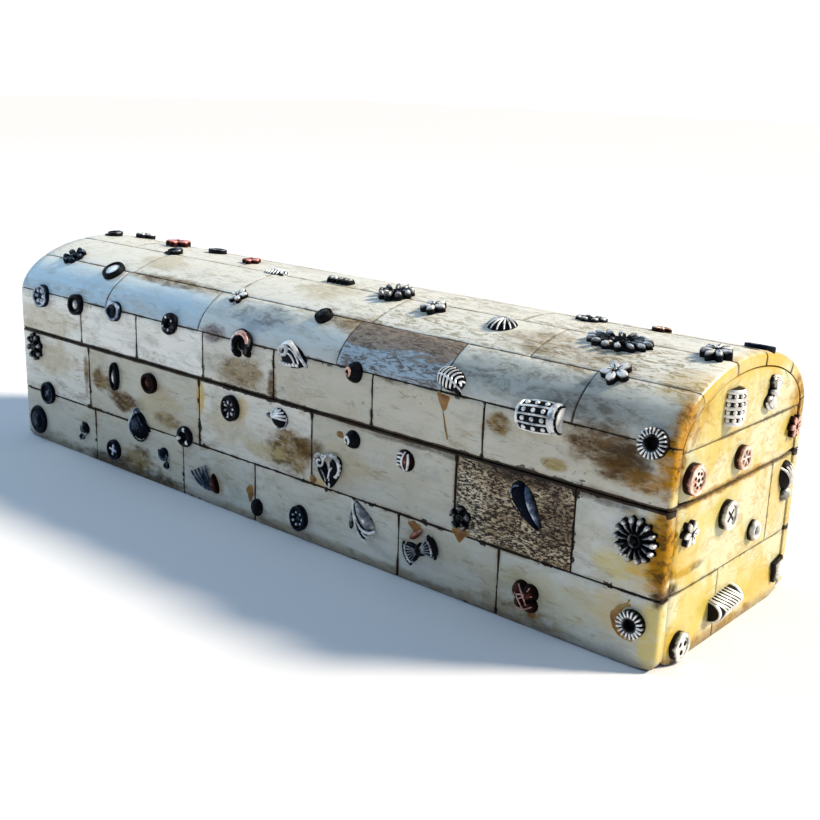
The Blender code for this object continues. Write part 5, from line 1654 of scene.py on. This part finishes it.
def crescent(width, height, rise):
    """A moon-shaped rim, thick on one side, over a plain disc."""
    moon = arc((0, 0), 0.40 * min(width, height), -70, 190, 14)
    middle = (-0.08 * width, -0.08 * height)
    return [
        rubbed(disc(0.9 * width, 0.9 * height, -0.6, 0.35 * rise), 0.0),
        rubbed(wire(moon, 0.24 * width, 0.55 * rise, 0.45), 0.7, 0.0),
        rubbed(dome(0.3 * width, 0.3 * height, 0.2 * rise, 0.8 * rise, middle, 12), 0.5),
    ]


def beaded_bar(length, width, rise):
    """Five knobs in a row on a plain foot."""
    parts = [rubbed(disc(0.96 * length, 0.6 * width, -0.6, 0.35 * rise), 0.0)]
    for step in range(5):
        place = ((-0.38 + 0.19 * step) * length, 0)
        parts.append(rubbed(dome(0.2 * length, 0.72 * width, 0, rise, place, 12), 0.9, -0.3))
    return parts


def squared_block(width, height, rise):
    """A squarish block with four bright ridges on its face."""
    parts = [rubbed(bar(width, height, -0.5, 0.65 * rise), 0.4, 0.0)]
    for step in range(4):
        place = (0, (step - 1.5) * 0.2 * height)
        parts.append(rubbed(bar(0.7 * width, 0.12 * height, 0.5 * rise, rise, place), 1.0))
    return parts


def ribbed_drop(width, length, rise):
    """A drop with bright arched ribs over its broad end and a smooth pale lobe at its foot."""
    middle = (0, 0.14 * length)
    shape = (width, 0.72 * length, 0.0, rise, middle)
    parts = [rubbed(dome(width, 0.72 * length, -0.4, rise, middle), 0.1)]
    for step in range(5):
        x = (-0.36 + 0.18 * step) * width
        rib = wire(bow_line((0.25 * x, -0.16 * length), (x, 0.40 * length), 0.15 * x), 0.55, 0.0, 0.8)
        parts.append(rubbed(draped(rib, *shape), 1.0))
    lobe = dome(0.72 * width, 0.40 * length, -0.4, 0.8 * rise, (-0.04 * width, -0.30 * length))
    return [*parts, rubbed(lobe, 0.85, 0.3)]


def cast(name, parts):
    """One casting from its parts, each rubbed as bright as its own marks say."""
    piece = rename(join(parts), name)
    smooth(piece, 40)
    return piece


STUD_SINK = 0.15 * MM


def set_stud(name, parts, side, along, across, turn=0, metal=SILVERY, node=None):
    """Casts a stud and sets it on a side, at shares of its length and height, and turned there."""
    piece = cast(name, parts)
    x, y = along * side.length, across * side.height
    right, up, outward = side.directions(y)
    seat = Matrix((right, up, outward)).transposed().to_4x4()
    seat.translation = side.point(x, y, -STUD_SINK)
    piece.data.transform(seat @ Matrix.Rotation(math.radians(turn), 4, "Z"))
    piece.data.update()
    finish, slot = metal
    keep(piece, finish)
    if node:
        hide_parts(node)


def set_casting(side, name, parts, along, across, turn=0, metal=SILVERY):
    """Sets a stud that is a node of its own in the frame."""
    set_stud(f"{name}_casting", parts, side, along, across, turn, metal, f"stud_{name}")


def set_front_studs():
    own = partial(set_casting, FRONT)

    # The upper course, from the left
    own("front_ridged_rosette", oval_flower(7.4, 8.8, 8, 2.0, 0.8, 0.85), 0.034, 0.866, 10)
    strokes = (bar(3.4, 0.7, 0.5, 1.2, turn=50), bar(1.8, 0.7, 0.5, 1.2, turn=-30))
    emblem = [rubbed(stroke, 0.7, 0.0) for stroke in strokes]
    own("front_disc", coin(6.8, 7.0, 1.4, emblem, 0.35), 0.060, 0.466, 0, SKY_SHEEN_SILVER)
    slot = rubbed(petal(-2.6, 2.6, 1.1, 0.3, 1.6, 0.0, 90), 0.95, 0.0)
    own("front_long_oval", coin(3.8, 8.4, 1.4, [slot], 0.15), 0.215, 0.812)
    swelling = rubbed(dome(4.0, 3.4, 0.3, 1.5), 0.6, 0.2)
    own("front_copper_oval", coin(6.2, 5.8, 1.5, [swelling], 0.1), 0.287, 0.845, -20, BROWNISH)
    own("front_fan_shell", fan_shell(), 0.263, 0.462, 14, SKY_SHEEN_SILVER)
    ringed = [*ring_stud(6.2, 6.0, 1.6, 0.26, 0.4), dots(3, 2.1, 1.4, 1.1, 80)]
    own("front_small_flower", ringed, 0.354, 0.493)
    petals = rubbed(all_round(petal(0.7, 2.6, 1.1, 0.5, 1.5, -0.4), 7), 0.9, 0.1)
    own("front_coin", coin(6.2, 7.0, 1.6, [petals, dots(3, 2.4, 0.6, 1.3, 20)], 0.12), 0.439, 0.845)
    own("front_ribbed_shell", ribbed_shell(), 0.517, 0.880, -6)
    own("front_heart_leaves", heart_leaves(), 0.597, 0.603, 4)
    own("front_teardrop", teardrop(7.6, 12.0, 2.4), 0.855, 0.792, 35, SKY_SHEEN_SILVER)
    own("front_large_rosette", rosette(10.2, 14, 2.2, 0.84), 0.972, 0.798)

    # The lower course, from the left
    own("front_corner_dome", domed(8.6, 9.2, 2.2, 0.20), 0.032, 0.178, 0, SKY_SHEEN_SILVER)
    own("front_comma_leaf", comma_leaf(), 0.141, 0.216, 60)
    own("front_low_disc", coin(5.8, 6.0, 1.4, cross(5.6, 1.4, 80), 0.2), 0.208, 0.160, 0, SKY_SHEEN_SILVER)
    own("front_feather", feather_comb(), 0.390, 0.200, 0, SKY_SHEEN_SILVER)
    lobe = [rubbed(petal(-2.9, 2.9, 2.9, 0, 1.9, 0.3, 100), 0.8, 0.0)]
    set_stud("front_feather_lobe", lobe, FRONT, 0.408, 0.185, 8, BROWNISH)
    own("front_saddle", folded_tent(), 0.650, 0.312)
    own("front_bow_tie", bow_tie(10.4, 7.4, 2.4), 0.730, 0.262, 26)
    patch = [rubbed(petal(-2.2, 2.2, 1.8, 0.4, 2.2, 0.2, 40), 0.8)]
    set_stud("front_bow_tie_patch", patch, FRONT, 0.724, 0.360, 0, COPPERY)
    own("front_knot", knot(6.8, 7.6, 2.8), 0.861, 0.206, 8, BROWNISH)
    own("front_low_rosette", gear(6.2, 18, 2.0), 0.975, 0.280)

    # The small ones
    dotted = [dots(7, 1.7, 0.8, 1.2), rubbed(dome(1.4, 1.6, 0.5, 1.3), 0.6)]
    for name, parts, along, across, turn, metal in (
        ("curl_bead", dark_bead(4.8, 2.2), 0.632, 0.885, 0, SILVERY),
        ("curl", curl(4.8, 2.2), 0.632, 0.885, 0, SILVERY),
        ("slanting_shell", [rubbed(dome(5.8, 5.6, -0.4, 1.6), 0.7, 0.0)], 0.705, 0.848, -8, BROWNISH),
        ("slanting_stripes", striped_shell(), 0.705, 0.848, -8, SILVERY),
        ("five_petals", rosette(5.8, 5, 1.6, 0.85, 0.75), 0.779, 0.580, 18, SILVERY),
        ("low_comma", comma_leaf(), 0.314, 0.246, 110, SKY_SHEEN_SILVER),
        ("low_bead", domed(4.0, 4.8, 1.8, 0.12, 0.4), 0.483, 0.122, 0, SILVERY),
        ("low_oval", coin(5.6, 6.8, 1.6, dotted, 0.2), 0.553, 0.166, 0, SKY_SHEEN_SILVER),
    ):
        set_stud("front_" + name, parts, FRONT, along, across, turn, metal)


def set_lid_studs():
    own = partial(set_casting, LID)

    # The lid's front wall, from the left
    petals = rubbed(all_round(petal(0.8, 3.0, 1.7, 0.3, 1.5), 6), 0.9)
    own("lid_left_flower", coin(7.4, 7.0, 1.5, [petals], 0.8), 0.055, 0.122, 0, SKY_SHEEN_SILVER)
    boss = rubbed(dome(3.2, 3.4, 0.6, 1.3), 0.75)
    own("lid_ring_disc", coin(6.4, 6.2, 1.6, [boss], 0.2), 0.136, 0.122)
    pupil = rubbed(dome(2.4, 1.4, 0.5, 1.3, (0.4, 0.2)), 0.1)
    own("lid_dome", coin(6.6, 5.8, 1.4, [pupil], 0.85), 0.217, 0.130, 0, SKY_SHEEN_SILVER)
    ringed = [*ring_stud(6.0, 6.2, 1.8, 0.34, 0.45), dots(4, 1.9, 0.9, 1.5, 30)]
    own("lid_small_flower", ringed, 0.329, 0.134)
    own("lid_copper_horseshoe", horseshoe(), 0.459, 0.131, 8)
    # A coppery arc over the horseshoe's top right: partly the horseshoe's copper, partly a painted highlight
    copper_and_highlight = [rubbed(wire(arc((0, -0.2), 2.9, 0, 120, 12), 1.7, 1.4, 0.7), 0.95)]
    set_stud("lid_horseshoe_glow", copper_and_highlight, LID, 0.459, 0.131, 8, COPPERY)
    own("lid_snail", snail(), 0.541, 0.131)
    own("lid_copper_bead", dark_bead(5.2, 2.4), 0.632, 0.128)
    set_stud("lid_bead_curl", curl(5.4, 2.4), LID, 0.632, 0.128, 0, COPPERY)
    own("lid_veined_leaf", veined_leaf(8.8, 5.4, 1.7), 0.754, 0.168, -12)
    hoops = ((0.035, 0.35), (0.86, 0.9))
    barrel = half_barrel(10.2, 7.4, 3.6, (8, 48, 82, 116, 158), (28, 65, 99, 137), hoops, cap=1.0)
    own("lid_barrel_bead", barrel, 0.865, 0.132, 4)
    own("lid_gear_ring", gear(6.4, 20, 2.0), 0.980, 0.136)

    # The vault and the crown
    own("vault_scalloped", rosette(7.6, 7, 1.8, 0.9, 0.72), 0.067, 0.287, 0, SKY_SHEEN_SILVER)
    own("vault_ring", saucer(7.0, 7.0, 1.8), 0.171, 0.258)
    own("vault_five_petals", flower(5.6, 5, 1.6), 0.411, 0.264, 20)
    own("vault_dome", domed(4.8, 4.8, 2.4, 0.08, 0.5), 0.553, 0.258)
    own("vault_right_flower", flower(6.8, 5, 1.8), 0.915, 0.274, 54)
    own("crown_round_flower", rosette(9.6, 9, 2.4), 0.594, 0.432)
    own("crown_ribbed_dome", ribbed_dome(8.0, 6.8, 1.7, 14), 0.756, 0.378)
    own("crown_oval_rosette", oval_flower(16.4, 8.6, 14, 1.8, 0.8), 0.886, 0.400)
    own("crown_right_flower", flower(7.0, 7, 2.2), 0.978, 0.431)
    long_boss = rubbed(dome(3.6, 2.2, 0.4, 1.4), 0.6)
    low_boss = rubbed(dome(4.0, 3.4, 0.2, 1.0), 0.4)
    for name, parts, along, across, turn, metal in (
        ("left_leaves", crescent(7.2, 5.6, 1.6), 0.020, 0.520, 0, SILVERY),
        ("left_flower", flower(6.6, 5, 1.8), 0.052, 0.595, 0, SILVERY),
        ("red_flower", flower(8.0, 5, 2.0), 0.156, 0.540, 0, REDDISH),
        ("crescent", crescent(7.6, 5.0, 1.4), 0.200, 0.440, 0, SILVERY),
        ("small_oval", coin(6.6, 4.6, 1.4, [long_boss]), 0.238, 0.540, 0, SILVERY),
        ("small_red_flower", flower(5.6, 5, 1.4), 0.328, 0.492, 0, REDDISH),
        ("flat_leaf", veined_leaf(8.6, 4.6, 1.0), 0.398, 0.440, 4, SILVERY),
        ("beaded_bar", beaded_bar(9.0, 4.8, 1.8), 0.499, 0.456, 0, SILVERY),
        ("middle_flower", flower(6.8, 5, 2.0), 0.664, 0.388, 0, SILVERY),
        ("back_flower", rosette(7.8, 8, 1.1), 0.813, 0.555, 0, SILVERY),
        ("pinkish_flower", flower(5.0, 6, 1.2), 0.886, 0.585, 0, ROSY_SUNLIT_COPPER),
        ("dark_oval", coin(6.8, 6.0, 1.0, [low_boss], 0.5), 0.984, 0.610, 0, SKY_SHEEN_SILVER),
    ):
        set_stud("crown_" + name, parts, LID, along, across, turn, metal)


def set_end_studs():
    upper = partial(set_casting, LID_RIGHT)
    lower = partial(set_casting, RIGHT)

    # On the lid
    button = coin(6.6, 6.6, 2.0, [rubbed(disc(4.6, 4.6, 0.8, 1.9), 0.9), *holes(7, 1.5, 0.75, 2.05)], 0.85)
    upper("end_button", button, 0.078, 0.480, 0, ROSY_SUNLIT_COPPER)
    upper("end_copper_wheel", wheel(5.4, 1.8), 0.474, 0.450, 0, ROSY_SUNLIT_COPPER)
    hoops = ((0.06, 0.5), (0.28, 0.4), (0.50, 0.4), (0.72, 0.4), (0.94, 0.5))
    barrel = half_barrel(7.6, 6.2, 3.2, bands=hoops, across=(0.17, 0.39, 0.61, 0.83))
    upper("end_carved_barrel", barrel, 0.352, 1.580, 90, RUBBED_AND_SUNLIT_SILVER)
    upper("end_butterfly", bow_tie(7.8, 6.8, 2.4, 0.9), 0.690, 1.540, 65, RUBBED_AND_SUNLIT_SILVER)

    # On the tray
    lower("end_spiked_flower", flower(5.8, 6, 1.8), 0.088, 0.826, 0, RUBBED_AND_SUNLIT_SILVER)
    face = [rubbed(disc(4.9, 5.2, 0.6, 1.5), 0.95), *crossed(3.6, 0.8, 1.0, 1.62, 45, -0.3)]
    lower("end_cross_coin", coin(6.2, 6.6, 1.8, face, 0.9), 0.398, 0.812, 0, RUBBED_AND_SUNLIT_SILVER)
    lower("end_ribbed_drop", ribbed_drop(5.6, 10.4, 2.2), 0.935, 0.826, 12, RUBBED_AND_SUNLIT_SILVER)
    lower("end_chevron_block", chevron_block(11.0, 5.8, 3.6), 0.436, 0.212, 6, RUBBED_AND_SUNLIT_SILVER)
    face = [rubbed(disc(4.8, 4.8, 0.6, 1.5), 0.95), *holes(3, 1.25, 1.2, 1.62, 20, False)]
    lower("end_low_coin", coin(6.2, 6.2, 1.8, face, 0.9), 0.098, 0.110, 0, RUBBED_AND_SUNLIT_SILVER)

    # The small ones
    set_stud("end_ring", ring_stud(4.4, 5.0, 1.8, 0.3, 1.0), RIGHT, 0.655, 0.600, 0, RUBBED_AND_SUNLIT_SILVER)
    set_stud("end_squared_block", squared_block(4.6, 5.2, 1.8), RIGHT, 0.952, 0.195, 12, RUBBED_AND_SUNLIT_SILVER)
    set_stud("end_coppery_flower", flower(5.6, 6, 1.6), LID_RIGHT, 0.945, 0.600, 0, COPPERY)


PLAIN_STUD_WIDTH = 6.3


def plain_form(index, width, rise):
    """The studs of the sides that are turned away: five forms in turn."""
    forms = (
        lambda: rosette(width, 8, rise),
        lambda: coin(width, width, rise, cross(width, rise)),
        lambda: flower(width, 6, rise),
        lambda: domed(width, width, rise),
        lambda: gear(width, 14, rise),
    )
    return forms[index % len(forms)]()


def set_plain_studs():
    """Rows of studs that stand in turn high and low. Of each six, the fifth is coppery."""
    rows = (
        ("back", BACK, 12, 0.22, 0.78, 3.6),
        ("lid_back", LID, 8, 0.86, 0.93, 2.1),
        ("left", LEFT, 4, 0.24, 0.76, 3.6),
        ("lid_left", LID_LEFT, 1, 0.45, 0.45, 3.6),
    )
    for row, (name, side, count, low, high, rise) in enumerate(rows):
        for index in range(count):
            parts = plain_form(index + row, PLAIN_STUD_WIDTH, rise)
            across = low if index % 2 else high
            metal = COPPERY if index % 6 == 4 else SILVERY
            set_stud(f"{name}_stud_{index + 1}", parts, side, (index + 0.5) / count, across, 0, metal)


GLUE_RISE = 0.42

# Drops of old glue that have run out beside some studs: side, along, across, width, height and tail
GLUE_DROPS = (
    (FRONT, 0.470, 0.215, 3.4, 4.2, 0.5),
    (FRONT, 0.779, 0.470, 4.6, 3.2, 0.5),
    (FRONT, 0.612, 0.890, 2.6, 2.0, 0.0),
    (FRONT, 0.720, 0.405, 4.4, 2.8, 0.3),
    (FRONT, 0.574, 0.500, 2.6, 2.4, 0.0),
    (LID, 0.750, 0.118, 4.4, 3.4, 0.5),
    (FRONT, 0.868, 0.095, 3.0, 2.0, 0.0),
)


def glue_drop(width, height, tail, seed):
    """A flat, uneven drop that may draw out to a point below."""
    drop = dome(width, height, 0, GLUE_RISE, sides=28)
    for vertex in drop.data.vertices:
        x, y, z = vertex.co / MM
        spread = 1 + 0.55 * noise.noise(Vector((x * 0.7, y * 0.7, seed)))
        below = max(0.0, -2 * y / height)
        vertex.co = Vector((x * spread * (1 - tail * below), y * spread * (1 + 0.8 * tail * below), z)) * MM
    return drop


def set_glue():
    """The drops, a ring of glue round the low rosette at the right and a trail below the leaf."""
    for index, (side, along, across, width, height, tail) in enumerate(GLUE_DROPS):
        drop = rubbed(glue_drop(width, height, tail, index * 2.3), 1.0, 0.0)
        set_stud(f"glue_drop_{index + 1}", [drop], side, along, across, 0, GLUE)
    pool = wire(arc((0, 0), 3.7, 95, 300, 16), 2.4, 0.0, 0.3)
    thread = wire([(-1.4, 3.2), (-0.9, 4.6), (0.2, 5.6)], 0.8, 0.0)
    for part in (pool, thread):
        for vertex in part.data.vertices:
            vertex.co.z *= 0.4
            vertex.co += noise.noise_vector(vertex.co * 700) * 0.25 * MM
    trail = wire([(-0.3, -1.0), (0.5, -4.0), (1.1, -6.5), (1.9, -9.0)], 0.45, 0.0, 0.5)
    set_stud("glue_trail", [rubbed(trail, 0.9, 0.0)], LID, 0.750, 0.118, 0, GLUE)
    ring_of_glue = [rubbed(pool, 1.0, 0.0), rubbed(thread, 0.6, 0.0)]
    set_stud("glue_pool", ring_of_glue, FRONT, 0.973, 0.280, 0, GLUE)


set_front_studs()
set_lid_studs()
set_end_studs()
set_plain_studs()
set_glue()


# Floor, light and camera


def set_stage():
    bpy.ops.object.select_all(action="DESELECT")
    bpy.ops.mesh.primitive_plane_add(size=8, location=(0, 0, 0))
    floor = rename(bpy.context.object, "floor")
    floor.data.materials.append(floor_finish())


def set_lamp(name, kind, place, energy, colour):
    """A lamp at a place, turned to the middle of the box's foot."""
    bpy.ops.object.light_add(type=kind, location=place)
    lamp = bpy.context.object
    lamp.name = name
    lamp.rotation_euler = lamp.location.to_track_quat("Z", "Y").to_euler()
    lamp.data.energy = energy
    lamp.data.color = colour
    return lamp


def set_dome():
    """A pale blue dome lights the box from all round. The camera sees it white."""
    world = bpy.data.worlds.new("pale_dome")
    bpy.context.scene.world = world
    world.use_nodes = True
    nodes, links = world.node_tree.nodes, world.node_tree.links
    sky = nodes["Background"]
    sky.inputs["Color"].default_value = (0.52, 0.70, 1.0, 1.0)
    sky.inputs["Strength"].default_value = 0.40
    seen = nodes.new("ShaderNodeBackground")
    seen.inputs["Color"].default_value = (1.0, 1.0, 1.0, 1.0)
    path = nodes.new("ShaderNodeLightPath")
    both = nodes.new("ShaderNodeMixShader")
    links.new(path.outputs["Is Camera Ray"], both.inputs["Fac"])
    links.new(sky.outputs["Background"], both.inputs[1])
    links.new(seen.outputs["Background"], both.inputs[2])
    links.new(both.outputs["Shader"], nodes["World Output"].inputs["Surface"])


def set_light():
    """A warm, soft light from behind on the right, a cool window on the left and a pale dome over all."""
    warm = set_lamp("warm_light", "SUN", (0.60, 0.52, 0.56), 5.6, (1.0, 0.91, 0.76))
    warm.data.angle = math.radians(11)
    cool = set_lamp("cool_window", "AREA", (-0.9, -0.25, 0.65), 4.0, (0.52, 0.80, 1.0))
    cool.data.size = 0.8
    set_dome()


# The camera, as the box's own edges in the photograph place it
EYE = (0.21561, -0.22595, 0.11470)
IMAGE_RIGHT = (0.75282, 0.65749, 0.03115)
IMAGE_DOWN = (0.20173, -0.18541, -0.96173)
FOCAL_PIXELS = 1173.04
IMAGE_PIXELS = 820
SENSOR = 36.0


def set_camera():
    bpy.ops.object.camera_add(location=EYE)
    camera = bpy.context.object
    camera.name = "photograph_camera"
    right, down = Vector(IMAGE_RIGHT), Vector(IMAGE_DOWN)
    backward = right.cross(-down)
    turned = Matrix((right, -down, backward)).transposed()
    camera.matrix_world = Matrix.Translation(EYE) @ turned.to_4x4()
    camera.data.lens = FOCAL_PIXELS / IMAGE_PIXELS * SENSOR
    camera.data.sensor_width = SENSOR
    camera.data.clip_start = 0.01
    camera.data.clip_end = 20
    bpy.context.scene.camera = camera


set_stage()
set_light()
set_camera()
bpy.context.scene.view_settings.view_transform = "Standard"
